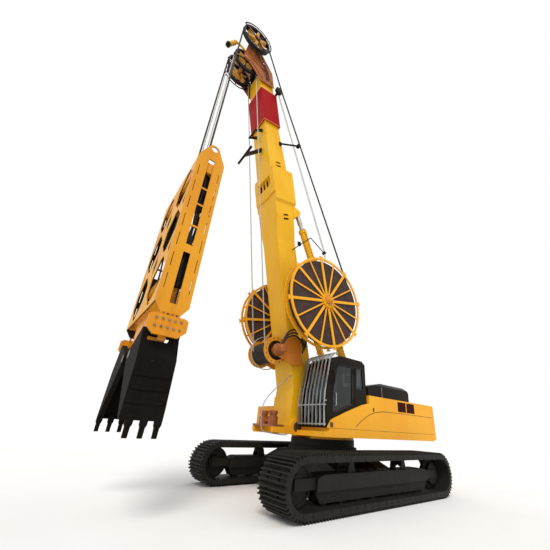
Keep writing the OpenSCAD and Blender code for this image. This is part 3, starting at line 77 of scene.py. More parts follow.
HOUSE_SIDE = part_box("house_left")[1].y
TRACK_MIDDLE = (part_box("track_left")[0].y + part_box("track_left")[1].y) / 2

# The mast leans forward about its foot pin, which lies ahead of its middle line
MAST_LEAN = math.radians(13.4)
FOOT_FORWARD = 0.40

# Distances of the hanging ropes and hoses from the middle of the grab
ROPE_OFFSET = 0.28
HOSE_OFFSET = 0.60

AHEAD = (1, 0, 0)
LEFT = (0, 1, 0)
UP = (0, 0, 1)
SIDES = (-1, 1)
REELS = ((1, "left_reel", "reel_hose_left"), (-1, "right_reel", "reel_hose_right"))


def mast_point(x, y, z):
    """A point given on the mast, x ahead of its middle line and z along it, in the part's frame."""
    ahead = np.asarray(x, float) - FOOT_FORWARD
    along = np.asarray(z, float)
    px = MAST_FOOT[0] + ahead * math.cos(MAST_LEAN) + along * math.sin(MAST_LEAN)
    pz = MAST_FOOT[2] - ahead * math.sin(MAST_LEAN) + along * math.cos(MAST_LEAN)
    return np.stack(np.broadcast_arrays(px, np.asarray(y, float), pz), -1)


def machine_point(x, y, z):
    """A point measured from the slew axis, in the part's frame."""
    return np.stack(np.broadcast_arrays(np.asarray(x, float) + SLEW_X, y, z), -1)


def mast_route(rows):
    """Rows of x, y and z on the mast, in the part's frame."""
    return mast_point(*np.array(rows, float).T)


def machine_route(rows):
    """Rows of x, y and z from the slew axis, in the part's frame."""
    return machine_point(*np.array(rows, float).T)


def mast_line(x, y, low, high, count):
    """A straight line of points along the mast from one height to another."""
    return mast_point(np.full(count, x), y, np.linspace(low, high, count))


mast_up = mast_point(0, 0, 1) - mast_point(0, 0, 0)


# Meshes

def put_mesh(name, points, faces, material, smooth=True):
    """A mesh object from points and faces, its seams closed and its faces turned outward."""
    closer_than = 1e-6
    mesh = bpy.data.meshes.new(name)
    mesh.from_pydata(np.asarray(points, float).reshape(-1, 3).tolist(), [], [list(f) for f in faces])
    work = bmesh.new()
    work.from_mesh(mesh)
    bmesh.ops.remove_doubles(work, verts=work.verts, dist=closer_than)
    bmesh.ops.recalc_face_normals(work, faces=work.faces)
    work.to_mesh(mesh)
    work.free()
    mesh.polygons.foreach_set("use_smooth", np.full(len(mesh.polygons), smooth))
    mesh.materials.append(material)
    mesh.update()
    piece = bpy.data.objects.new(name, mesh)
    bpy.context.scene.collection.objects.link(piece)
    return piece


def grid_faces(rows, columns, wrap_rows=False, wrap_columns=False):
    """Quads over a grid of points, closed on itself where a direction wraps."""
    row_steps = np.arange(rows - (not wrap_rows))
    column_steps = np.arange(columns - (not wrap_columns))
    i, j = np.meshgrid(row_steps, column_steps, indexing="ij")
    i2 = (i + 1) % rows
    j2 = (j + 1) % columns
    corners = [i * columns + j, i * columns + j2, i2 * columns + j2, i2 * columns + j]
    return np.stack(corners, -1).reshape(-1, 4)


def capped(rows, columns):
    """Faces of a closed skin: a grid that wraps round, with a cap at each end."""
    last = (rows - 1) * columns
    ends = [list(range(columns - 1, -1, -1)), [last + k for k in range(columns)]]
    return grid_faces(rows, columns, False, True).tolist() + ends


def join(parts):
    """Several (points, faces) pairs as one, each set of faces moved past the points before it."""
    points = []
    faces = []
    start = 0
    for p, f in parts:
        p = np.asarray(p, float).reshape(-1, 3)
        points.append(p)
        faces.extend([[int(q) + start for q in face] for face in f])
        start += len(p)
    return np.concatenate(points), faces


def finished(name, parts, material, body, smooth=True):
    """Joins parts into one piece that rides on a body and takes a material slot."""
    piece = put_mesh(name, *join(parts), material, smooth)
    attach(piece, body)
    return piece


def across(axis):
    """An axis made one long, and two directions square to it."""
    axis = np.asarray(axis, float) / np.linalg.norm(axis)
    side = np.cross(axis, LEFT if abs(axis[1]) < 0.9 else AHEAD)
    side = side / np.linalg.norm(side)
    return axis, side, np.cross(axis, side)


def full_turn(count):
    """Angles evenly spaced over a full turn."""
    return np.linspace(0, 2 * math.pi, count, endpoint=False)


def run_length(path):
    """Distance along a path at each of its points."""
    return np.concatenate([[0], np.cumsum(np.linalg.norm(np.diff(path, axis=0), axis=1))])


def turned(profile, centre, axis, turns=32, ring=False):
    """A profile of (radius, distance along an axis) carried round that axis through a centre.

    Point = centre + distance * axis + radius * (cos a * side + sin a * up), for a from 0 to a full turn.
    """
    profile = np.asarray(profile, float)
    axis, side, up = across(axis)
    a = full_turn(turns)
    spokes = np.cos(a)[:, None] * side + np.sin(a)[:, None] * up
    points = np.asarray(centre, float) + profile[:, None, 1:] * axis + profile[:, None, :1] * spokes[None]
    faces = grid_faces(len(profile), turns, True, True) if ring else capped(len(profile), turns)
    return points.reshape(-1, 3), faces


def tube(path, radius, sides=12, lobes=0, lobe_height=0.0, turns_per_metre=0.0, loop=False):
    """A round section carried along a path, square to it.

    Radius = radius + lobe height * cos(lobes * (angle + winding * distance)), which shows a rope's lay.
    """
    path = np.asarray(path, float)
    step = np.roll(path, -1, 0) - np.roll(path, 1, 0) if loop else np.gradient(path, axis=0)
    step /= np.linalg.norm(step, axis=1)[:, None]
    # A path that runs across the machine somewhere needs a lead that it nowhere follows
    lead = LEFT if np.abs(step[:, 1]).max() < 0.9 else (0.31, 0.12, 0.94)
    side = np.cross(step, lead)
    side /= np.linalg.norm(side, axis=1)[:, None]
    up = np.cross(step, side)
    a = full_turn(sides)[None, :]
    winding = run_length(path)[:, None] * turns_per_metre * 2 * math.pi
    r = radius + lobe_height * np.cos(lobes * (a + winding))
    out = np.cos(a)[..., None] * side[:, None] + np.sin(a)[..., None] * up[:, None]
    faces = grid_faces(len(path), sides, True, True) if loop else capped(len(path), sides)
    return (path[:, None] + r[..., None] * out).reshape(-1, 3), faces


def curve(points, samples=12):
    """A smooth line through points, by the cubic of each four neighbours in turn."""
    p = np.asarray(points, float)
    p = np.concatenate([2 * p[:1] - p[1:2], p, 2 * p[-1:] - p[-2:-1]])
    t = np.linspace(0, 1, samples, endpoint=False)[None, :, None]
    a, b, c, d = p[:-3, None], p[1:-2, None], p[2:-1, None], p[3:, None]
    square = (2 * a - 5 * b + 4 * c - d) * t ** 2
    cube = (3 * b - a - 3 * c + d) * t ** 3
    line = 0.5 * (2 * b + (c - a) * t + square + cube)
    return np.concatenate([line.reshape(-1, 3), p[-2:-1]])


def evenly(corners, count):
    """Points at even distances along the straight legs of a route, so that a smooth line can't overshoot."""
    along = run_length(corners)
    even = np.linspace(0, along[-1], count)
    return np.stack([np.interp(even, along, corners[:, c]) for c in range(3)], -1)


def edge_steps(corners, steps):
    """Points along the straight edges of a closed outline, each edge cut into equal steps."""
    p = np.asarray(corners, float)
    t = np.linspace(0, 1, steps, endpoint=False)[None, :, None]
    return (p[:, None] * (1 - t) + np.roll(p, -1, 0)[:, None] * t).reshape(-1, p.shape[1])


PILLOW = ((0.86, -1), (1, -0.8), (1, 0.8), (0.86, 1))


def pod(centre, half, axis=UP, levels=PILLOW, power=4.0):
    """A rounded body: sections |x|^n + |y|^n = 1 at levels along an axis, each at its share of the size."""
    sides = 24
    axis, side, up = across(axis)
    a = full_turn(sides)
    x = np.sign(np.cos(a)) * np.abs(np.cos(a)) ** (2 / power) * half[0]
    y = np.sign(np.sin(a)) * np.abs(np.sin(a)) ** (2 / power) * half[1]
    section = x[:, None] * side + y[:, None] * up
    steps = np.array(levels, float)
    rise = steps[:, None, 1:] * half[2] * axis
    points = np.asarray(centre, float) + rise + steps[:, None, :1] * section[None]
    return points.reshape(-1, 3), capped(len(steps), sides)


def cushion(centre, half, along, over, channels=()):
    """A stuffed pad over a grid u, v from -1 to 1.

    Thickness = h * ((1 - u^6) * (1 - v^6))^(1/3), crowned by (1 - u^2) * (1 - v^2), less a groove at each
    sewn channel across u. The sides pull in between the corners.
    """
    size = 33
    pull = 0.03
    crown = 0.3
    groove = 0.3
    groove_width = 0.06
    along = np.asarray(along, float)
    over = np.asarray(over, float)
    u, v = np.meshgrid(np.linspace(-1, 1, size), np.linspace(-1, 1, size), indexing="ij")
    rim = ((1 - u ** 6) * (1 - v ** 6)) ** (1 / 3)
    top = half[2] * (rim + crown * (1 - u ** 2) * (1 - v ** 2))
    for place in channels:
        top = top * (1 - groove * np.exp(-((u - place) / groove_width) ** 2))
    x = half[0] * u * (1 - pull * (1 - v ** 2))
    y = half[1] * v * (1 - pull * (1 - u ** 2))
    flat = x[..., None] * along + y[..., None] * over + np.asarray(centre, float)
    up = np.cross(along, over)
    faces = grid_faces(size, size)
    under = flat - (half[2] * rim)[..., None] * up
    return join([(flat + top[..., None] * up, faces), (under, faces[:, ::-1])])


def bar(section, start, end):
    """A flat outline in X and Y carried straight up from one height to another."""
    section = np.asarray(section, float)
    rise = [np.column_stack([section, np.full(len(section), z)]) for z in (start, end)]
    return np.concatenate(rise), capped(2, len(section))


def bolt_heads(places, normals, size, height):
    """Hexagon heads: at each place a six-sided ring along the normal, full at two levels, then chamfered."""
    places = np.asarray(places, float).reshape(-1, 3)
    normals = np.broadcast_to(np.asarray(normals, float), places.shape)
    lead = np.where(np.abs(normals[:, 1:2]) < 0.9, [LEFT], [AHEAD])
    side = np.cross(normals, lead)
    side /= np.linalg.norm(side, axis=1)[:, None]
    up = np.cross(normals, side)
    a = full_turn(6)
    ring = np.cos(a)[None, :, None] * side[:, None] + np.sin(a)[None, :, None] * up[:, None]
    levels = np.array([[1.0, 0.0], [1.0, 0.7], [0.78, 1.0]])
    spread = levels[None, :, None, :1] * size * ring[:, None]
    rise = levels[None, :, None, 1:] * height * normals[:, None, None]
    head = capped(len(levels), 6)
    per_head = 6 * len(levels)
    faces = [[per_head * k + q for q in f] for k in range(len(places)) for f in head]
    return (places[:, None, None] + spread + rise).reshape(-1, 3), faces


def bolts(name, groups, body):
    """Groups of (places, normal, size, height) as one piece of hexagon heads."""
    finished(name, [bolt_heads(*g) for g in groups], bolt_zinc, body, False)


def ring_of(centre, axis, radius, count):
    """Places evenly round a circle square to an axis."""
    axis, side, up = across(axis)
    a = np.arange(count) * 2 * math.pi / count
    return np.asarray(centre, float) + radius * (np.cos(a)[:, None] * side + np.sin(a)[:, None] * up)


# Materials

def linear(code):
    """An sRGB hex colour as linear red, green, blue and alpha."""
    c = np.array([int(code[k:k + 2], 16) for k in (1, 3, 5)]) / 255
    return tuple(np.where(c <= 0.04045, c / 12.92, ((c + 0.055) / 1.055) ** 2.4)) + (1.0,)


def add(tree, kind, settings=None, links=None, stops=()):
    """A node of a kind with its settings, its inputs set or linked, and the stops of a colour ramp."""
    node = tree.nodes.new(kind)
    for key, value in (settings or {}).items():
        setattr(node, key, value)
    for key, value in (links or {}).items():
        if isinstance(value, bpy.types.NodeSocket):
            tree.links.new(value, node.inputs[key])
        else:
            node.inputs[key].default_value = value
    for k, (position, code) in enumerate(stops):
        node.color_ramp.elements[k].position = position
        node.color_ramp.elements[k].color = linear(code)
    return node


def surface(name, roughness, metallic=0.0, **sockets):
    """A new material, its node tree, its shader and the Object coordinates that its patterns read."""
    material = bpy.data.materials.new(name)
    material.use_nodes = True
    tree = material.node_tree
    tree.nodes.clear()
    values = {"Roughness": roughness, "Metallic": metallic, **sockets}
    shader = add(tree, "ShaderNodeBsdfPrincipled", None, values)
    add(tree, "ShaderNodeOutputMaterial", None, {"Surface": shader.outputs["BSDF"]})
    return material, tree, shader, add(tree, "ShaderNodeTexCoord").outputs["Object"]


def mottle(tree, place, millimetres, detail, stops, stretch=(1, 1, 1)):
    """A colour that wanders between two tones in patches of a real size: stretched noise through a ramp."""
    drawn = add(tree, "ShaderNodeMapping", None, {"Vector": place, "Scale": stretch})
    size = {"Vector": drawn.outputs["Vector"], "Scale": 1000 / millimetres, "Detail": detail}
    patches = add(tree, "ShaderNodeTexNoise", None, size)
    return add(tree, "ShaderNodeValToRGB", None, {"Fac": patches.outputs["Fac"]}, stops).outputs["Color"]


def wander(tree, place, millimetres, detail, spread):
    """A number that wanders over patches of a real size: noise, taken from two limits to two others."""
    size = {"Vector": place, "Scale": 1000 / millimetres, "Detail": detail}
    patches = add(tree, "ShaderNodeTexNoise", None, size)
    limits = {1: spread[0], 2: spread[1], 3: spread[2], 4: spread[3]}
    return add(tree, "ShaderNodeMapRange", None, {"Value": patches.outputs["Fac"], **limits}).outputs[0]


def grain(tree, place, millimetres, strength, depth):
    """A fine relief: noise of a real size as a bump."""
    size = {"Vector": place, "Scale": 1000 / millimetres, "Detail": 2.0}
    height = add(tree, "ShaderNodeTexNoise", None, size).outputs["Fac"]
    bump = {"Strength": strength, "Distance": depth, "Height": height}
    return add(tree, "ShaderNodeBump", None, bump).outputs["Normal"]


# Sizes of the patterns in millimetres.
# Chips, peel and rubber grain are drawn coarser than real ones, so that they show.
FADE = 1111
STREAK_WIDTH = 138.9
STREAK_LENGTH = 952.4
CHIP = 45.45
PEEL = 11.11
SCRATCH = 71.43
OIL_FILM = 111.1
GREASE = 83.33
DUST = 200
RUBBER_GRAIN = 8.333
LENS_RIB = 19.635
FLOOR_PATCH = 2500
COLOURS = {"data_type": "RGBA"}
PRIMER = "#4a4038"
# Near black for the guide frame's inner faces: painted shade
INSIDE_PAINTED_SHADE = "#120c08"


def enamel(name, fresh, faded, grime, roughness, dirt, shine=0.5, inside=None):
    """Sprayed enamel on plate: a slow drift of tone, rain streaks, a few chips and fine orange peel.

    Where inside gives an axis, a middle and a distance, faces nearer to the middle are painted near black:
    painted shade inside the guide frame.
    """
    material, tree, shader, place = surface(name, roughness, **{"Specular IOR Level": shine})
    drift = mottle(tree, place, FADE, 3.0, [(0.35, fresh), (0.7, faded)])
    down = (1000 / STREAK_WIDTH, 1000 / STREAK_WIDTH, 1000 / STREAK_LENGTH)
    running = add(tree, "ShaderNodeMapping", None, {"Vector": place, "Scale": down})
    size = {"Vector": running.outputs["Vector"], "Scale": 1.0, "Detail": 6.0}
    streak = add(tree, "ShaderNodeTexNoise", None, size).outputs["Fac"]
    soil = add(tree, "ShaderNodeMapRange", None, {"Value": streak, 1: 0.52, 2: 0.80, 3: 0.0, 4: dirt})
    worn = add(tree, "ShaderNodeMix", COLOURS, {0: soil.outputs[0], 6: drift, 7: linear(grime)})
    chip = wander(tree, place, CHIP, 5.0, (0.70, 0.74, 0.0, 0.55))
    chipped = add(tree, "ShaderNodeMix", COLOURS, {0: chip, 6: worn.outputs[2], 7: linear(PRIMER)})
    colour = chipped.outputs[2]
    # Painted shade: faces within reach of the middle turn near black
    if inside:
        axis, middle, reach = inside
        edge = 0.004
        parts = add(tree, "ShaderNodeSeparateXYZ", None, {"Vector": place})
        off = add(tree, "ShaderNodeMath", {"operation": "SUBTRACT"}, {0: parts.outputs[axis], 1: middle})
        away = add(tree, "ShaderNodeMath", {"operation": "ABSOLUTE"}, {0: off.outputs[0]})
        near = {"Value": away.outputs[0], 1: reach - edge, 2: reach, 3: 0.99, 4: 0.0}
        painted_shade_share = add(tree, "ShaderNodeMapRange", None, near)
        painted_shade_mix = add(tree, "ShaderNodeMix", COLOURS, {0: painted_shade_share.outputs[0], 6: colour, 7: linear(INSIDE_PAINTED_SHADE)})
        colour = painted_shade_mix.outputs[2]
    dulled = {"Value": streak, 3: roughness - 0.08, 4: roughness + 0.18}
    rough = add(tree, "ShaderNodeMapRange", None, dulled)
    tree.links.new(colour, shader.inputs["Base Color"])
    tree.links.new(rough.outputs[0], shader.inputs["Roughness"])
    tree.links.new(grain(tree, place, PEEL, 0.08, 0.004), shader.inputs["Normal"])
    return material


def sheave_paint(name, axle, rim):
    """Cast sheaves: yellow enamel on hub and spokes, and a black greased rim past a radius from the axle."""
    edge = 0.01
    material, tree, shader, place = surface(name, 0.5, **{"Specular IOR Level": 0.3})
    centred = {"Vector": place, "Location": (-axle[0], 0, -axle[2]), "Scale": (1, 0, 1)}
    flat = add(tree, "ShaderNodeMapping", None, centred)
    far = add(tree, "ShaderNodeVectorMath", {"operation": "LENGTH"}, {0: flat.outputs["Vector"]})
    past = {"Value": far.outputs["Value"], 1: rim - edge, 2: rim, 3: 0.0, 4: 1.0}
    share = add(tree, "ShaderNodeMapRange", None, past)
    grease = mottle(tree, place, GREASE, 5.0, [(0.35, "#0d0b0a"), (0.8, "#241c16")])
    paint = mottle(tree, place, OIL_FILM, 5.0, [(0.35, "#b27a22"), (0.7, "#d9a44a")])
    both = add(tree, "ShaderNodeMix", COLOURS, {0: share.outputs[0], 6: paint, 7: grease})
    tree.links.new(both.outputs[2], shader.inputs["Base Color"])
    return material


def bare_metal(name, bright, dark, roughness, scratch, metallic=1.0):
    """Machined, drawn or zinc-coated steel: scratches drawn out along an axis, and patches of oil film."""
    material, tree, shader, place = surface(name, roughness, metallic)
    tone = mottle(tree, place, SCRATCH, 6.0, [(0.3, dark), (0.75, bright)], scratch)
    rough = wander(tree, place, OIL_FILM, 4.0, (0.0, 1.0, roughness - 0.06, roughness + 0.16))
    tree.links.new(tone, shader.inputs["Base Color"])
    tree.links.new(rough, shader.inputs["Roughness"])
    return material


def matt_skin(name, clean, dusty):
    """Extruded rubber, a cable's jacket or coarse cloth: matt, with chalky dust and a fine grain."""
    material, tree, shader, place = surface(name, 0.75)
    tone = mottle(tree, place, DUST, 5.0, [(0.35, clean), (0.8, dusty)])
    tree.links.new(tone, shader.inputs["Base Color"])
    tree.links.new(grain(tree, place, RUBBER_GRAIN, 0.15, 0.003), shader.inputs["Normal"])
    return material


def tinted_glass(name):
    """Tinted float glass: clear and smooth, with a wiped film that dulls it in patches."""
    tint = {"Base Color": linear("#76817f"), "Transmission Weight": 1.0, "IOR": 1.45}
    material, tree, shader, place = surface(name, 0.06, **tint)
    film = wander(tree, place, DUST, 5.0, (0.35, 0.8, 0.03, 0.22))
    tree.links.new(film, shader.inputs["Roughness"])
    return material


def moulded_lens(name):
    """A moulded red lens: glossy, with ribs drawn as fine dark and light bands of colour, a painted shade
    and highlight.

    A wave's bands lie a full turn apart at 20 * scale radians in a metre.
    """
    material, tree, shader, place = surface(name, 0.15, **{"Coat Weight": 0.5})
    scale = 2 * math.pi * 1000 / (20 * LENS_RIB)
    # Painted shade and highlight: the ribs' dark and light bands are colour, not relief
    bands = add(tree, "ShaderNodeTexWave", None, {"Vector": place, "Scale": scale, "Distortion": 0.0})
    stops = [(0.2, "#2b0907"), (0.8, "#48140f")]
    tint = add(tree, "ShaderNodeValToRGB", None, {"Fac": bands.outputs["Fac"]}, stops)
    tree.links.new(tint.outputs["Color"], shader.inputs["Base Color"])
    return material


# Sprayed house enamel: a warm, even yellow with a soft shine and faint streaks
yellow_enamel = enamel("sprayed_house_yellow_enamel", "#eca214", "#f0ad22", "#a06a1e", 0.4, 0.1, 0.28)
# Sprayed mast enamel: a cooler lemon yellow than the house's
mast_enamel = enamel("sprayed_mast_yellow_enamel", "#e9ac0c", "#eeb71c", "#9c721e", 0.4, 0.12, 0.28)
# Sprayed orange enamel: the grab's and the drum's, browner and more streaked from work
orange_enamel = enamel("sprayed_orange_enamel", "#d2840e", "#dc941a", "#7a461a", 0.42, 0.3, 0.28)
# Sprayed winch enamel: redder than the drum's and darker by a painted shade, and the most soiled, by rope
# grease
winch_enamel_painted_shade = enamel("sprayed_winch_orange_enamel", "#c46c18", "#d07f22", "#6a3414", 0.42, 0.4, 0.28)
# Guide frame enamel: bright on the outer faces, and near black on the inner ones as painted shade inside the
# frame
end_painted_shade_inside = (1, 0.0, 1.2395)
face_painted_shade_inside = (0, GRAB_X, 0.2795)
end_enamel = enamel("sprayed_grab_end_enamel", "#d2880e", "#dc981a", "#7a461a", 0.42, 0.3, 0.28,
                    end_painted_shade_inside)
face_enamel = enamel("sprayed_grab_face_enamel", "#d6920f", "#e0a11c", "#7a461a", 0.42, 0.3, 0.28,
                     face_painted_shade_inside)
# Brown oxide enamel: a dull red-brown with black stains
oxide_enamel = enamel("brushed_brown_oxide_enamel", "#8a4513", "#a35a1d", "#33190e", 0.45, 0.5)
# Charcoal enamel: near black with a satin face
charcoal_enamel = enamel("sprayed_charcoal_enamel", "#15110c", "#1c1710", "#2c241a", 0.36, 0.2, 0.1)
# Red enamel: deep and even, with hardly any shine
red_enamel = enamel("sprayed_red_enamel", "#9c0c10", "#a41216", "#5a1517", 0.42, 0.15, 0.08)
# Rolled track steel: black, with pale dried soil in streaks
track_steel = enamel("rolled_track_steel", "#14130f", "#1f1d17", "#403828", 0.6, 0.3, 0.25)
# Cast jaw iron: dead black and rough
jaw_iron = enamel("cast_jaw_iron", "#0d0b08", "#14110d", "#2a241d", 0.7, 0.25, 0.08)
# Sheave castings: worn yellow spokes inside a black greased rim
rope_sheave_paint = sheave_paint("painted_rope_sheave_casting", ROPE_AXLE, 0.31)
hose_sheave_paint = sheave_paint("painted_hose_sheave_casting", HOSE_AXLE, 0.385)
# Zinc-coated tube: pale grey, brushed along its length
guard_tube = bare_metal("zinc_coated_guard_tube", "#b9bab8", "#8d8e8c", 0.38, (1, 1, 0.2), 0.7)
# Turned pin steel: grey-brown under oil
pin_steel = bare_metal("oiled_turned_pin_steel", "#8b8880", "#55514a", 0.4, (1, 0.2, 1))
# Ground hard chrome: bright and nearly mirror smooth
rod_chrome = bare_metal("ground_hard_chrome", "#dcdedf", "#b7babb", 0.12, (1, 1, 0.1))
# Galvanised wire: pale and dull
rope_wire = bare_metal("galvanised_rope_wire", "#c4c4c0", "#8c8b86", 0.5, (1, 1, 3), 0.3)
# Greased wire on the drum: almost black
drum_rope = bare_metal("greased_drum_wire", "#2e2a26", "#12100e", 0.5, (1, 3, 1), 0.3)
# Extruded cable jacket: light grey and chalky
cable_jacket = matt_skin("extruded_grey_cable_jacket", "#9b9a95", "#b9b7b0")
# Extruded hose rubber: brown-black with dust
hose_skin = matt_skin("extruded_hose_rubber", "#1c1615", "#3b2a25")
# The same rubber wound on the reels, redder with dust
reel_hose_skin = matt_skin("wound_hose_rubber", "#2a1815", "#4a2d26")
# Extruded seal rubber: plain matt black
seal_rubber = matt_skin("extruded_seal_rubber", "#141414", "#242424")
# Woven seat cloth: matt charcoal
seat_cloth = matt_skin("woven_seat_cloth", "#1b1b1d", "#2c2c2f")
cab_glass = tinted_glass("tinted_float_glass")
# Zinc-plated bolts: small dull grey glints
bolt_zinc = bare_metal("zinc_plated_bolt_steel", "#9a958a", "#6e675a", 0.45, (1, 1, 1), 0.8)
lamp_lens = moulded_lens("moulded_lamp_lens")
# Pale sign edge enamel: a lighter line along the red sign box's edges, a painted highlight
sign_edge_highlight_enamel = enamel("worn_sign_edge_enamel", "#e0714a", "#e88460", "#7a2a1c", 0.45, 0.2, 0.3)
# Grille enamel: dark red-brown, as the grilles lie in shade
grille_enamel = enamel("sprayed_grille_brown_enamel", "#43170b", "#521f10", "#1d0f08", 0.5, 0.3, 0.1)

finish_of = {
    yellow_enamel: ["deck_frame", "cab_fairing", "house_left", "house_right", "counterweight", "reel_left",
                    "reel_right"],
    mast_enamel: ["lower_mast", "collar_band", "upper_mast", "luff_barrels"],
    winch_enamel_painted_shade: ["winch_frame"],
    orange_enamel: ["winch_drum", "guide_shoes", "reel_beam", "crosshead", "grab_top_beam",
                    "grab_lower_head"],
    end_enamel: ["guide_ends"],
    face_enamel: ["guide_faces"],
    oxide_enamel: ["mast_head", "hose_manifold"],
    charcoal_enamel: ["engine_hood", "cab_shell", "cab_sides", "cab_door", "rope_guides", "sheave_guards",
                      "jaw_cylinder"],
    grille_enamel: ["house_grille"],
    track_steel: ["car_body", "track_frame_left", "track_frame_right", "track_left", "track_right",
                  "drive_sprockets", "track_idlers", "track_rollers", "slew_ring", "engine"],
    jaw_iron: ["jaw_left", "jaw_right"],
    red_enamel: ["sign_sleeve"],
    guard_tube: ["front_guard"],
    pin_steel: ["mast_foot_pin"],
    rope_sheave_paint: ["rope_sheaves"],
    hose_sheave_paint: ["hose_sheaves"],
    rod_chrome: ["luff_rods"],
    rope_wire: ["winch_ropes", "hoist_ropes"],
    hose_skin: ["reel_hoses"],
    reel_hose_skin: ["reel_hose_left", "reel_hose_right"],
    seat_cloth: ["operator_seat"],
    cab_glass: ["cab_glass", "door_glass"],
}
for material, names in finish_of.items():
    for name in names:
        nodes[name].data.materials.clear()
        nodes[name].data.materials.append(material)


# Camera, lamps and floor

def set_camera():
    """The photograph's standpoint: low, close and to the front left, looking up at the mast."""
    yaw = math.radians(230.99)
    pitch = math.radians(24.75)
    roll = math.radians(3.21)
    sensor = 36
    picture_pixels = 550
    focal_pixels = 286.3
    ahead = Vector((math.cos(pitch) * math.cos(yaw), math.cos(pitch) * math.sin(yaw), math.sin(pitch)))
    level = Vector((math.sin(yaw), -math.cos(yaw), 0))
    upright = level.cross(ahead)
    right = level * math.cos(roll) + upright * math.sin(roll)
    up = upright * math.cos(roll) - level * math.sin(roll)
    lens = bpy.data.cameras.new("standpoint")
    lens.sensor_width = sensor
    lens.lens = focal_pixels / picture_pixels * sensor
    lens.shift_x = -0.0625
    lens.shift_y = 0.0413
    lens.clip_end = 500
    camera = bpy.data.objects.new("standpoint", lens)
    place = Matrix((right, up, -ahead)).transposed().to_4x4()
    place.translation = machine_point(5.89, 6.37, 1.37)
    camera.matrix_world = place
    bpy.context.scene.collection.objects.link(camera)
    bpy.context.scene.camera = camera


def set_light():
    """A soft sky, seen as white by the camera, gloss and glass, with one broad sun from the front left."""
    scene = bpy.context.scene
    scene.view_settings.view_transform = "Standard"
    world = bpy.data.worlds.new("sky")
    world.use_nodes = True
    tree = world.node_tree
    tree.nodes.clear()
    sky = add(tree, "ShaderNodeBackground", None, {"Color": (0.95, 0.97, 1.0, 1), "Strength": 0.76})
    white = add(tree, "ShaderNodeBackground", None, {"Color": (1, 1, 1, 1)})
    ray = add(tree, "ShaderNodeLightPath").outputs
    through = {0: ray["Is Glossy Ray"], 1: ray["Is Transmission Ray"]}
    mirrored = add(tree, "ShaderNodeMath", {"operation": "ADD"}, through)
    straight = {0: ray["Is Camera Ray"], 1: mirrored.outputs[0]}
    seen = add(tree, "ShaderNodeMath", {"operation": "ADD", "use_clamp": True}, straight)
    both = {0: seen.outputs[0], 1: sky.outputs[0], 2: white.outputs[0]}
    mix = add(tree, "ShaderNodeMixShader", None, both)
    add(tree, "ShaderNodeOutputWorld", None, {"Surface": mix.outputs[0]})
    scene.world = world
    sun = bpy.data.lights.new("sun", "SUN")
    sun.energy = 1.8
    sun.angle = math.radians(25)
    sun.color = (1.0, 0.97, 0.92)
    lamp = bpy.data.objects.new("sun", sun)
    shines = Vector((-0.55, -0.62, -0.9))
    lamp.rotation_euler = shines.to_track_quat("-Z", "Y").to_euler()
    scene.collection.objects.link(lamp)


def set_floor():
    """A pale level floor, a hair below the tracks."""
    size = 60.0
    height = -0.002
    material, tree, shader, place = surface("pale_rolled_floor", 0.9)
    tone = mottle(tree, place, FLOOR_PATCH, 3.0, [(0.3, "#f1f0ee"), (0.8, "#f8f7f5")])
    tree.links.new(tone, shader.inputs["Base Color"])
    line = np.linspace(-size, size, 3)
    x, y = np.meshgrid(line, line, indexing="ij")
    sheet = np.stack([x, y, np.full_like(x, height)], -1)
    put_mesh("floor", sheet, grid_faces(3, 3)[:, ::-1], material)


set_camera()
set_light()
set_floor()


# Wound hose and rope

def wound(name, centre, inner, outer, half, face_turns, rim_turns, material, body):
    """Turns wound side by side on an axle across the machine, as a ring from an inner to an outer radius.

    Its faces and its rim rise by height * |sin(pi * share * turns)| ^ 0.6, with share from 0 to 1 over each.
    """
    face_rise = 0.009
    rim_rise = 0.008
    sunk = 0.004
    steps = 5
    r = np.linspace(inner, outer, face_turns * steps + 1)
    ridge = face_rise * np.abs(np.sin(math.pi * (r - inner) / (outer - inner) * face_turns)) ** 0.6
    width = np.linspace(-half, half, rim_turns * steps + 1)[1:-1]
    bump = rim_rise * np.abs(np.sin(math.pi * (width + half) / (2 * half) * rim_turns)) ** 0.6
    face = np.stack([r, half - sunk + ridge], -1)
    rim = np.stack([outer + bump, -width], -1)
    profile = np.concatenate([face, rim, face[::-1] * (1, -1)])
    return finished(name, [turned(profile, centre, LEFT, 96, True)], material, body)


for side, body, node in REELS:
    turns = wound("wound_" + node, REEL * (1, side, 1), 0.192, 1.158, 0.094, 20, 4, reel_hose_skin, body)
    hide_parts(node)
wound("rope_on_drum", WINCH, 0.2405, 0.268, 0.352, 1, 22, drum_rope, "winch")


# Ropes, hoses and pipes

def hanging_lines():
    """Straight lines from the head sheaves to the grab."""
    top = ROPE_AXLE[2]
    low = BEAM_TOP + 0.003
    lay_per_metre = 2.2
    z = np.linspace(top, low, 120)
    for name, offset, radius, strands, strand_height, material, slot in (
            ("hoist_rope_pair", ROPE_OFFSET, 0.0135, 6, 0.0022, rope_wire, "rope_steel"),
            ("grab_hose_pair", HOSE_OFFSET, 0.0252, 0, 0.0, hose_skin, "hose_rubber")):
        parts = []
        for side in SIDES:
            line = np.stack([np.full_like(z, GRAB_X), np.full_like(z, side * offset), z], -1)
            parts.append(tube(line, radius, 12, strands, strand_height, lay_per_metre))
        piece = put_mesh(name, *join(parts), material)
        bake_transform(piece)
        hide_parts("hoist_ropes")


def foot_pipe():
    """The thin pipe that loops from the mast past the manifold and back: a tube on a smooth line."""
    y = 0.40
    on_mast = mast_route([(0.325, 0.30, 1.20), (0.40, 0.36, 1.18)])
    past = [(2.02, y, 2.14), (2.22, y, 1.857), (2.245, y, 1.585), (2.20, y, 1.343), (2.11, y, 1.285)]
    under = [(1.88, y, 1.258), (1.62, y, 1.238), (1.52, y, 1.242), (1.47, y, 1.285)]
    line = curve(np.concatenate([on_mast, machine_route(past + under)]), 14)
    piece = put_mesh("foot_pipe", *tube(line, 0.011, 8), rope_wire)
    low = tuple(machine_point(2.0, y, 1.4))
    high = tuple(mast_point(0.36, 0.33, 1.19))
    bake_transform(piece)


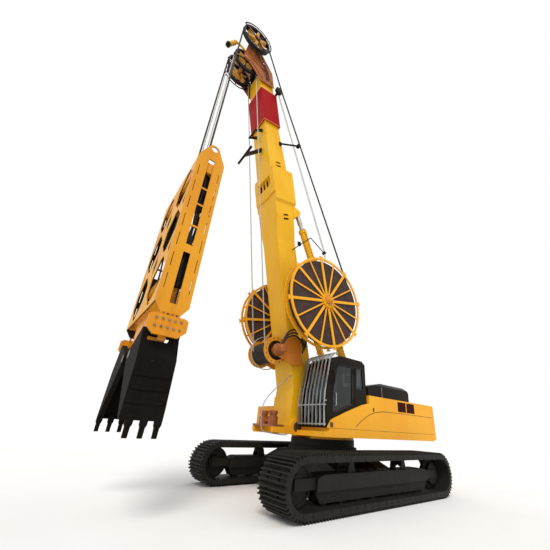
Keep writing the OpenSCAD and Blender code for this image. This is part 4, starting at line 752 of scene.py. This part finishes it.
def winch_drive():
    """A motor at the drum's left end, turned in steps, its hoses, and a thin hoop round the drum's front.

    Hoop = winch axis + radius * (cos a, sin a), for a from 125 degrees above the front to 125 below it.
    """
    motor = [(0.16, 0.462), (0.16, 0.5), (0.125, 0.51), (0.125, 0.62)]
    motor += [(0.105, 0.64), (0.105, 0.72), (0.06, 0.735)]
    finished("winch_motor", [turned(motor, WINCH, LEFT, 36)], oxide_enamel, "mast")
    spots = ring_of(WINCH + (0, 0.5, 0), LEFT, 0.142, 10)
    bolts("winch_motor_bolts", [(spots, LEFT, 0.014, 0.014)], "mast")
    hoses = []
    for k in range(3):
        path = [(0.75, 0.70 - 0.05 * k, 1.90), (0.71, 0.71, 2.01 + 0.03 * k), (0.57, 0.73, 2.12 + 0.06 * k)]
        path += [(0.33, 0.70, 2.15 + 0.08 * k), (0.10, 0.62, 2.03 + 0.09 * k)]
        path += [(-0.05 - 0.05 * k, 0.50, 1.86 + 0.09 * k), (-0.11 - 0.07 * k, 0.362, 1.75 + 0.08 * k)]
        hoses.append(tube(curve(mast_route(path), 12), 0.022, 10))
    finished("winch_hoses", hoses, reel_hose_skin, "mast")
    hoop_radius = 0.42
    count = 60
    a = np.radians(np.linspace(125, -125, count))
    hoop = np.stack([hoop_radius * np.cos(a), np.full(count, -0.1), hoop_radius * np.sin(a)], -1)
    finished("winch_hoop", [tube(WINCH + hoop, 0.011, 8)], rope_wire, "mast")


def drum_and_sockets():
    """Rings on the drum's ends, and tapered sockets for ropes and hoses, turned from profiles."""
    ring = [(0.172, 0.398), (0.172, 0.408), (0.19, 0.414), (0.225, 0.414), (0.243, 0.408), (0.243, 0.398)]
    rings = [turned(ring, WINCH, (0, s, 0), 48, True) for s in SIDES]
    finished("drum_end_rings", rings, charcoal_enamel, "winch")
    socket = [(0.02, 0.32), (0.032, 0.30), (0.045, 0.1), (0.055, 0.06), (0.055, 0.0)]
    offsets = (-HOSE_OFFSET, -ROPE_OFFSET, ROPE_OFFSET, HOSE_OFFSET)
    sockets = [turned(socket, (GRAB_X, y, BEAM_TOP), UP, 20) for y in offsets]
    finished("rope_sockets", sockets, pin_steel, "grab")


def mast_pipes():
    """Four pipes up the mast's back, held by rubber clamps at even heights."""
    pipes = [tube(mast_line(-0.338, y, 0.62, 5.55, 40), 0.016, 10) for y in (-0.15, -0.05, 0.05, 0.15)]
    finished("mast_pipes", pipes, pin_steel, "mast")
    heights = np.arange(0.9, 5.5, 0.9)
    clamps = [pod(mast_point(-0.343, 0, z), (0.022, 0.21, 0.03), mast_up) for z in heights]
    finished("pipe_clamps", clamps, seal_rubber, "mast")


def bolt_rows():
    """Bolts on the guide shoes, the collar's flange, the reels' hubs and the drum's ends."""
    x, z = np.meshgrid(np.linspace(-0.2, 0.2, 5), (2.94, 2.80))
    shoes = []
    for s in SIDES:
        places = np.stack([GRAB_X + x.ravel(), np.full(x.size, SHOE_SIDE * s), z.ravel()], -1)
        shoes.append((places, (0, s, 0), 0.022, 0.02))
    bolts("shoe_bolts", shoes, "grab")
    flange_height = 7.59
    flange = [mast_point(np.linspace(-0.38, 0.27, 7), s * 0.49, flange_height) for s in SIDES]
    flange += [mast_point(-0.40, np.linspace(-0.40, 0.40, 7), flange_height)]
    bolts("flange_bolts", [(p, mast_up, 0.026, 0.024) for p in flange], "mast")
    for side, body, _ in REELS:
        spots = ring_of((REEL[0], side * REEL_FACE, REEL[2]), (0, side, 0), 0.15, 10)
        bolts("hub_bolts_" + body, [(spots, (0, side, 0), 0.018, 0.016)], body)
    drum = []
    for s in SIDES:
        spots = ring_of(WINCH + (0, s * DRUM_END, 0), (0, s, 0), 0.30, 16)
        drum.append((spots, (0, s, 0), 0.018, 0.016))
    bolts("drum_bolts", drum, "winch")


hanging_lines()
foot_pipe()
drum_and_sockets()
mast_pipes()
bolt_rows()
winch_drive()


# Tracks

CHAIN_RUN = 4.5
CHAIN_RADIUS = 0.43
CHAIN_AXLE_Z = 0.5
SHOE_COUNT = 54


def loop_point(s):
    """A place on the chain line, which is a stadium: two straight runs and two half circles."""
    run = CHAIN_RUN
    r = CHAIN_RADIUS
    wheel = run / 2
    turn = math.pi * r
    s = np.asarray(s, float) % (2 * run + 2 * turn)
    front = (s - run) / r - math.pi / 2
    rear = (s - 2 * run - turn) / r + math.pi / 2
    parts = [s < run, s < run + turn, s < 2 * run + turn]
    runs = [s - wheel, wheel + r * np.cos(front), wheel - (s - run - turn)]
    x = np.select(parts, runs, -wheel + r * np.cos(rear))
    z = np.select(parts, [-r + 0 * s, r * np.sin(front), r + 0 * s], r * np.sin(rear))
    return machine_point(x, 0 * x, z + CHAIN_AXLE_Z)


def track_bolts():
    """Four bolts on each shoe plate, and the ends of the chain pins on both edges."""
    pin_end = [(0.03, 0.0), (0.03, 0.006), (0.02, 0.009)]
    plate_top = 0.0245
    pin_depth = 0.042
    pin_reach = 0.399
    bolt_gap = 0.17
    pitch = (2 * CHAIN_RUN + 2 * math.pi * CHAIN_RADIUS) / SHOE_COUNT
    a = loop_point(np.arange(SHOE_COUNT) * pitch)
    b = loop_point((np.arange(SHOE_COUNT) + 1) * pitch)
    way = (b - a) / np.linalg.norm(b - a, axis=1)[:, None]
    out = np.stack([way[:, 2], 0 * way[:, 0], -way[:, 0]], -1)
    heads = []
    pins = []
    for y in (-TRACK_MIDDLE, TRACK_MIDDLE):
        for share in (0.33, 0.67):
            row = a + (b - a) * share + out * plate_top
            heads += [bolt_heads(row + (0, y + d, 0), out, 0.02, 0.016) for d in (-bolt_gap, bolt_gap)]
        for s in SIDES:
            ends = a - out * pin_depth + (0, y + s * pin_reach, 0)
            pins += [turned(pin_end, p, (0, s, 0), 12) for p in ends]
    finished("track_shoe_bolts", heads, jaw_iron, "undercarriage", False)
    finished("track_pin_ends", pins, track_steel, "undercarriage", False)


track_bolts()


# Cab and house

def outline_tube(points, y, radius):
    """A round seal along a closed outline in X and Z, its edges cut into short steps."""
    line = edge_steps(points, 10)
    return tube(machine_point(line[:, 0], np.full(len(line), y), line[:, 1]), radius, 8, loop=True)


def cab_trim():
    """Seals round the panes, and the door's handle, a tube on a smooth line."""
    door_pane = [(0.39, 1.98), (0.70, 1.86), (1.00, 1.76), (1.04, 1.78)]
    door_pane += [(1.04, 2.22), (0.92, 2.74), (0.81, 2.85), (0.39, 2.85)]
    finished("door_seal", [outline_tube(door_pane, 1.443, 0.012)], seal_rubber, "door")
    side_pane = [(-0.03, 2.35), (0.24, 2.35), (0.24, 2.88), (0.0, 2.88)]
    mast_pane = [(0.0, 2.05), (1.08, 2.05), (0.94, 2.85), (0.04, 2.85)]
    seals = [outline_tube(side_pane, 1.445, 0.011), outline_tube(mast_pane, 0.525, 0.011)]
    finished("window_seals", seals, seal_rubber, "superstructure")
    x = 0.98
    grip = [(x, 1.45, 1.90), (x, 1.485, 1.91), (x, 1.49, 1.98)]
    grip += [(x, 1.49, 2.10), (x, 1.485, 2.17), (x, 1.45, 2.18)]
    handle = tube(curve(machine_route(grip), 6), 0.011, 10)
    finished("door_handle", [handle], guard_tube, "door")


def operator_place():
    """Consoles with levers, pedals and a display, and a sewn seat of three pads on its pedestal."""
    middle = 0.985
    controls = []
    for y in (0.66, 1.31):
        lever = [(0.74, y, 1.99), (0.76, y, 2.07), (0.75, y, 2.15)]
        controls.append(pod(machine_point(0.62, y, 1.73), (0.19, 0.075, 0.24)))
        controls.append(pod(machine_point(0.62, y, 1.985), (0.21, 0.085, 0.025)))
        controls.append(tube(curve(machine_route(lever), 6), 0.014, 10))
        controls.append(pod(machine_point(0.75, y, 2.18), (0.028, 0.028, 0.05), power=2.2))
    controls.append(pod(machine_point(1.06, 0.72, 2.05), (0.03, 0.12, 0.09)))
    controls.append(pod(machine_point(0.98, middle, 1.50), (0.09, 0.14, 0.02)))
    finished("operator_controls", controls, seal_rubber, "superstructure")
    lean = math.radians(12)
    back_up = (-math.sin(lean), 0, math.cos(lean))
    base = cushion(machine_point(0.445, middle, 1.865), (0.255, 0.24, 0.055), AHEAD, LEFT, (-0.4, 0.3))
    back = cushion(machine_point(0.1235, middle, 2.243), (0.32, 0.23, 0.055), LEFT, back_up, (-0.45, 0.45))
    head = cushion(machine_point(0.04, middle, 2.64), (0.13, 0.09, 0.045), LEFT, back_up)
    pads = finished("sewn_seat", [base, back, head], seat_cloth, "superstructure")
    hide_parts("operator_seat")
    waisted = ((1, -1), (0.8, -0.6), (0.8, 0.7), (1, 1))
    stand = pod(machine_point(0.44, middle, 1.645), (0.17, 0.17, 0.165), levels=waisted)
    pedestal = finished("seat_pedestal", [stand], charcoal_enamel, "superstructure")
    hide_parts("operator_seat")


def cab_mirror():
    """A rounded mirror on a bent arm."""
    bend = [(1.10, 1.43, 2.62), (1.17, 1.50, 2.64), (1.20, 1.56, 2.62)]
    arm = tube(curve(machine_route(bend), 8), 0.012, 10)
    finished("mirror_arm", [arm], seal_rubber, "superstructure")
    glass = pod(machine_point(1.20, 1.58, 2.50), (0.022, 0.09, 0.15), power=3)
    finished("mirror", [glass], charcoal_enamel, "superstructure")


def house_lines():
    """The left side's pressed crease drawn as a dark line of painted shade, the panels' gaps and latches, a
    marker lamp and the hood's seam.
    """
    crease = [(0.33, 1.49), (0.13, 1.63), (-0.14, 1.767), (-0.36, 1.84)]
    crease += [(-0.62, 1.88), (-1.0, 1.90), (-3.2, 1.90)]
    # Painted shade: the crease is a dark rubber line, where its fold lies in shade
    pressed = curve(machine_route([(x, HOUSE_SIDE - 0.0055, z) for x, z in crease]), 12)
    gap_side = HOUSE_SIDE - 0.0015
    low, high = 1.46, 2.18
    spans = ((-2.56, -1.42), (-1.35, -0.30), (-0.22, 0.60))
    doors = [[(rear, low), (front, low), (front, high), (rear, high)] for rear, front in spans]
    gaps = [outline_tube(door, -gap_side, 0.005) for door in doors]
    gaps.append(tube(pressed, 0.008, 8))
    gaps.append(tube(machine_point(np.linspace(-3.2, 1.15, 30), gap_side, 1.43), 0.004, 6))
    finished("panel_gaps", gaps, seal_rubber, "superstructure")
    latch = [machine_point(-0.337, HOUSE_SIDE, 1.91)]
    latch += [machine_point(x, -HOUSE_SIDE, 1.80) for x in (-2.46, -1.52, -1.25, -0.40, -0.12, 0.50)]
    latches = [pod(p, (0.045, 0.02, 0.012), LEFT) for p in latch]
    finished("panel_latches", latches, charcoal_enamel, "superstructure")
    lamp = pod(machine_point(1.128, HOUSE_SIDE, 1.50), (0.05, 0.045, 0.012), LEFT)
    finished("marker_lamp", [lamp], lamp_lens, "superstructure")
    seam = machine_point(-1.15, 1.181, np.linspace(2.27, 2.58, 8))
    finished("hood_seam", [tube(seam, 0.006, 8)], guard_tube, "hood")


cab_trim()
operator_place()
cab_mirror()
house_lines()


# Mast and head

def head_lamp():
    """A lamp that hangs from the head's front on a bent arm."""
    base = machine_point(4.80, 0, 14.03)
    tip = machine_point(5.045, 0, 13.505)
    way = tip - base
    bend = np.stack([machine_point(4.34, 0, 13.93), machine_point(4.6, 0, 14.03), base])
    arm = [tube(curve(bend, 8), 0.035, 12), pod((base + tip) / 2, (0.06, 0.075, 0.27), way)]
    finished("head_lamp_arm", arm, mast_enamel, "mast")
    hood = pod(tip - 0.03 * way, (0.072, 0.088, 0.05), way)
    finished("head_lamp", [hood], charcoal_enamel, "mast")


def head_fittings():
    """Hoses inside the head, caps on its axle, ribs on its plates, a box between them and side lines."""
    hoses = []
    for side in SIDES:
        for k in range(3):
            y = side * (0.20 - 0.05 * k)
            path = [(0.10 + 0.06 * k, y, 11.74), (0.02 + 0.05 * k, y, 12.05)]
            path += [(0.18 + 0.07 * k, y * 1.2, 12.42 + 0.05 * k), (0.50 + 0.05 * k, y * 1.1, 12.30)]
            path += [(0.62 + 0.05 * k, y * 0.8, 12.02), (0.70, y * 0.6, 11.95)]
            hoses.append(tube(curve(mast_route(path), 10), 0.022, 10))
    finished("head_hoses", hoses, reel_hose_skin, "mast")
    cap = [(0.1, 0), (0.1, 0.02), (0.085, 0.03)]
    caps = [turned(cap, ROPE_AXLE + (0, s * 0.43, 0), (0, s, 0), 28) for s in SIDES]
    finished("head_axle_caps", caps, oxide_enamel, "mast")
    ribs = []
    places = ((-0.12, 11.35, 0.20, 12.62), (0.25, 11.36, 0.66, 11.86), (0.02, 11.80, 0.66, 12.02),
              (0.30, 12.30, 0.46, 12.70))
    for s in SIDES:
        for x0, z0, x1, z1 in places:
            low = mast_point(x0, s * 0.442, z0)
            high = mast_point(x1, s * 0.442, z1)
            half_length = np.linalg.norm(high - low) / 2
            ribs.append(pod((low + high) / 2, (0.02, 0.018, half_length), high - low))
    finished("head_ribs", ribs, oxide_enamel, "mast")
    box = pod(mast_point(0.12, 0, 12.12), (0.19, 0.37, 0.2), mast_up)
    finished("head_box", [box], charcoal_enamel, "mast")
    lines = []
    for s in SIDES:
        for k in range(2):
            path = [(0.02 + 0.07 * k, s * 0.44, 11.42), (0.05 + 0.07 * k, s * 0.50, 11.70)]
            path += [(0.30 + 0.08 * k, s * 0.52, 12.05 + 0.1 * k), (0.36 + 0.06 * k, s * 0.48, 12.40)]
            path += [(0.42 + 0.04 * k, s * 0.44, 12.62)]
            lines.append(tube(curve(mast_route(path), 10), 0.02, 10))
    finished("head_lines", lines, reel_hose_skin, "mast")


def sign_edges():
    """The pale edges of the sign box, a painted highlight: a closed tube round its top and its foot."""
    edges = []
    for z in (9.503, 10.897):
        corners = mast_route([(-0.27, -0.43, z), (0.37, -0.43, z), (0.37, 0.43, z), (-0.27, 0.43, z)])
        edges.append(tube(edge_steps(corners, 12), 0.014, 8, loop=True))
    finished("sign_edges", edges, sign_edge_highlight_enamel, "mast")


def control_cables():
    """A bent bracket behind the mast with a small guide wheel, and two cables over it to the reel beam."""
    y = 0.63
    tip = (-1.276, y, 4.836)
    bend = [(-0.20, 0.36, 4.836), (-0.205, 0.50, 4.84), (-0.23, 0.615, 4.86)]
    bend += [(-0.42, y, 5.0), (-0.70, y, 5.20), (-0.775, y, 5.25)]
    bend += [(-0.85, y, 5.19), (-1.05, y, 5.025), tip]
    wheel = [(0.02, -0.05), (0.05, -0.045), (0.035, -0.02), (0.035, 0.02), (0.05, 0.045), (0.02, 0.05)]
    bracket = [tube(curve(mast_route(bend), 8), 0.014, 10),
               pod(mast_point(-0.27, y, 4.93), (0.05, 0.035, 0.06), mast_up),
               turned(wheel, mast_point(*tip), LEFT, 20)]
    finished("cable_bracket", bracket, charcoal_enamel, "mast")
    route = np.array([(-0.29, 0.52, 10.93), (-0.32, 0.525, 10.80), (-0.80, 0.58, 7.82), (-1.25, 0.63, 5.10),
                      (-1.305, 0.632, 4.84), (-1.25, 0.65, 4.60), (-0.90, 0.73, 3.85), (-0.50, 0.80, 3.02)])
    apart = 0.02
    cables = []
    for k in SIDES:
        line = evenly(mast_route(route + (0, apart * k, 0)), 64)
        cables.append(tube(curve(line, 3), 0.009, 8))
    finished("control_cables", cables, cable_jacket, "mast")


def weld_beads():
    """Weld beads up the lower mast's front and along its side plates."""
    top = 5.02
    beads = [mast_line(0.3215, y, 2.35, top, 30) for y in (-0.30, 0.30)]
    beads += [mast_line(x, s * 0.3715, 0.95, top, 30) for x in (-0.27, 0.27) for s in SIDES]
    finished("mast_weld_beads", [tube(b, 0.007, 8) for b in beads], mast_enamel, "mast")


def luffing_fittings():
    """A gland nut at each luffing barrel's top, and a pipe along it, held by clamps."""
    nut = [(0.067, 5.837), (0.118, 5.837), (0.118, 5.85), (0.1, 5.866), (0.067, 5.866)]
    bend = [(0.32, 0.10), (0.34, 0.13), (0.42, 0.135), (2.8, 0.135)]
    bend += [(5.6, 0.135), (5.68, 0.13), (5.70, 0.10)]
    pipes = []
    nuts = []
    for side in SIDES:
        foot = LUFF_FOOT + (0, side * 0.42, 0)
        nuts.append(turned(nut, foot, LUFF_WAY, 36, True))
        line = [foot + LUFF_WAY * along + (0, side * off, 0) for along, off in bend]
        pipes.append(tube(curve(line, 10), 0.014, 10))
        for along in (0.32, 2.0, 3.8, 5.70):
            clamp = foot + LUFF_WAY * along + (0, side * 0.125, 0)
            pipes.append(pod(clamp, (0.03, 0.03, 0.035), LUFF_WAY))
    finished("luff_gland_nuts", nuts, pin_steel, "luff_barrel_pair")
    finished("luff_pipes", pipes, mast_enamel, "luff_barrel_pair")


def reel_swivels():
    """A stepped swivel on each reel's hub."""
    steps = [(0.11, 0), (0.11, 0.03), (0.07, 0.04), (0.07, 0.075), (0.045, 0.085)]
    for side, body, _ in REELS:
        swivel = turned(steps, (REEL[0], side * REEL_FACE, REEL[2]), (0, side, 0), 28)
        finished("swivel_" + body, [swivel], orange_enamel, body)


head_lamp()
head_fittings()
sign_edges()
control_cables()
weld_beads()
luffing_fittings()
reel_swivels()


# Grab

def grab_trays():
    """Open trays up the guide frame's ends, charcoal as painted shade in the end slots, and three hoses in
    each that sway by a slow sine of height.
    """
    outer = [(-0.21, 1.15), (-0.21, 1.10), (0.21, 1.10), (0.21, 1.15)]
    inner = [(0.20, 1.15), (0.20, 1.11), (-0.20, 1.11), (-0.20, 1.15)]
    tray = np.array(outer + inner)
    spans = ((3.62, 4.62), (5.42, 6.62))
    trays = [bar(tray * (1, s) + (GRAB_X, 0), low, high) for s in SIDES for low, high in spans]
    # Painted shade: charcoal trays, so that the guide frame's end slots read dark
    finished("hose_trays", trays, charcoal_enamel, "grab", False)
    count = 60
    height = np.linspace(3.64, 6.60, count)
    hoses = []
    for s in SIDES:
        for x in (-0.12, 0.0, 0.12):
            sway = 0.014 * np.sin(height * 5.0 + 9 * x)
            line = np.stack([GRAB_X + x + sway, np.full(count, s * 1.133), height], -1)
            hoses.append(tube(line, 0.02, 10))
    finished("tray_hoses", hoses, hose_skin, "grab")


def grab_fittings():
    """Caps on the jaws' pins, the cylinder's gland, and the tooth adapters and wear bars on the jaws."""
    cap = [(0.085, 0), (0.085, 0.008), (0.07, 0.013)]
    cap_reach = 0.29
    caps = [turned(cap, (GRAB_X + e * cap_reach, s * JAW_PIN[1], JAW_PIN[2]), (e, 0, 0), 28)
            for e in SIDES for s in SIDES]
    finished("jaw_pin_caps", caps, pin_steel, "grab")
    gland = [(0.0775, 0.0), (0.165, 0.0), (0.172, -0.02), (0.172, -0.09), (0.16, -0.11), (0.0775, -0.11)]
    collar = turned(gland, (GRAB_X, 0, CYLINDER_FOOT), UP, 40, True)
    finished("cylinder_gland", [collar], pin_steel, "grab")
    tapered = ((0.8, -1), (1, -0.6), (1.05, 0.7), (0.9, 1))
    for side, body, xs in ((1, "left_jaw", (-0.25, -0.05, 0.15)), (-1, "right_jaw", (-0.15, 0.05, 0.25))):
        parts = [pod((GRAB_X + x, side * 1.193, 1.365), (0.052, 0.062, 0.085), levels=tapered) for x in xs]
        for y, z in ((1.245, 1.62), (1.235, 1.82), (1.225, 2.02)):
            parts.append(pod((GRAB_X, side * y, z), (0.03, 0.016, 0.27), AHEAD))
        finished("tooth_adapters_" + body, parts, jaw_iron, body)


grab_trays()
grab_fittings()
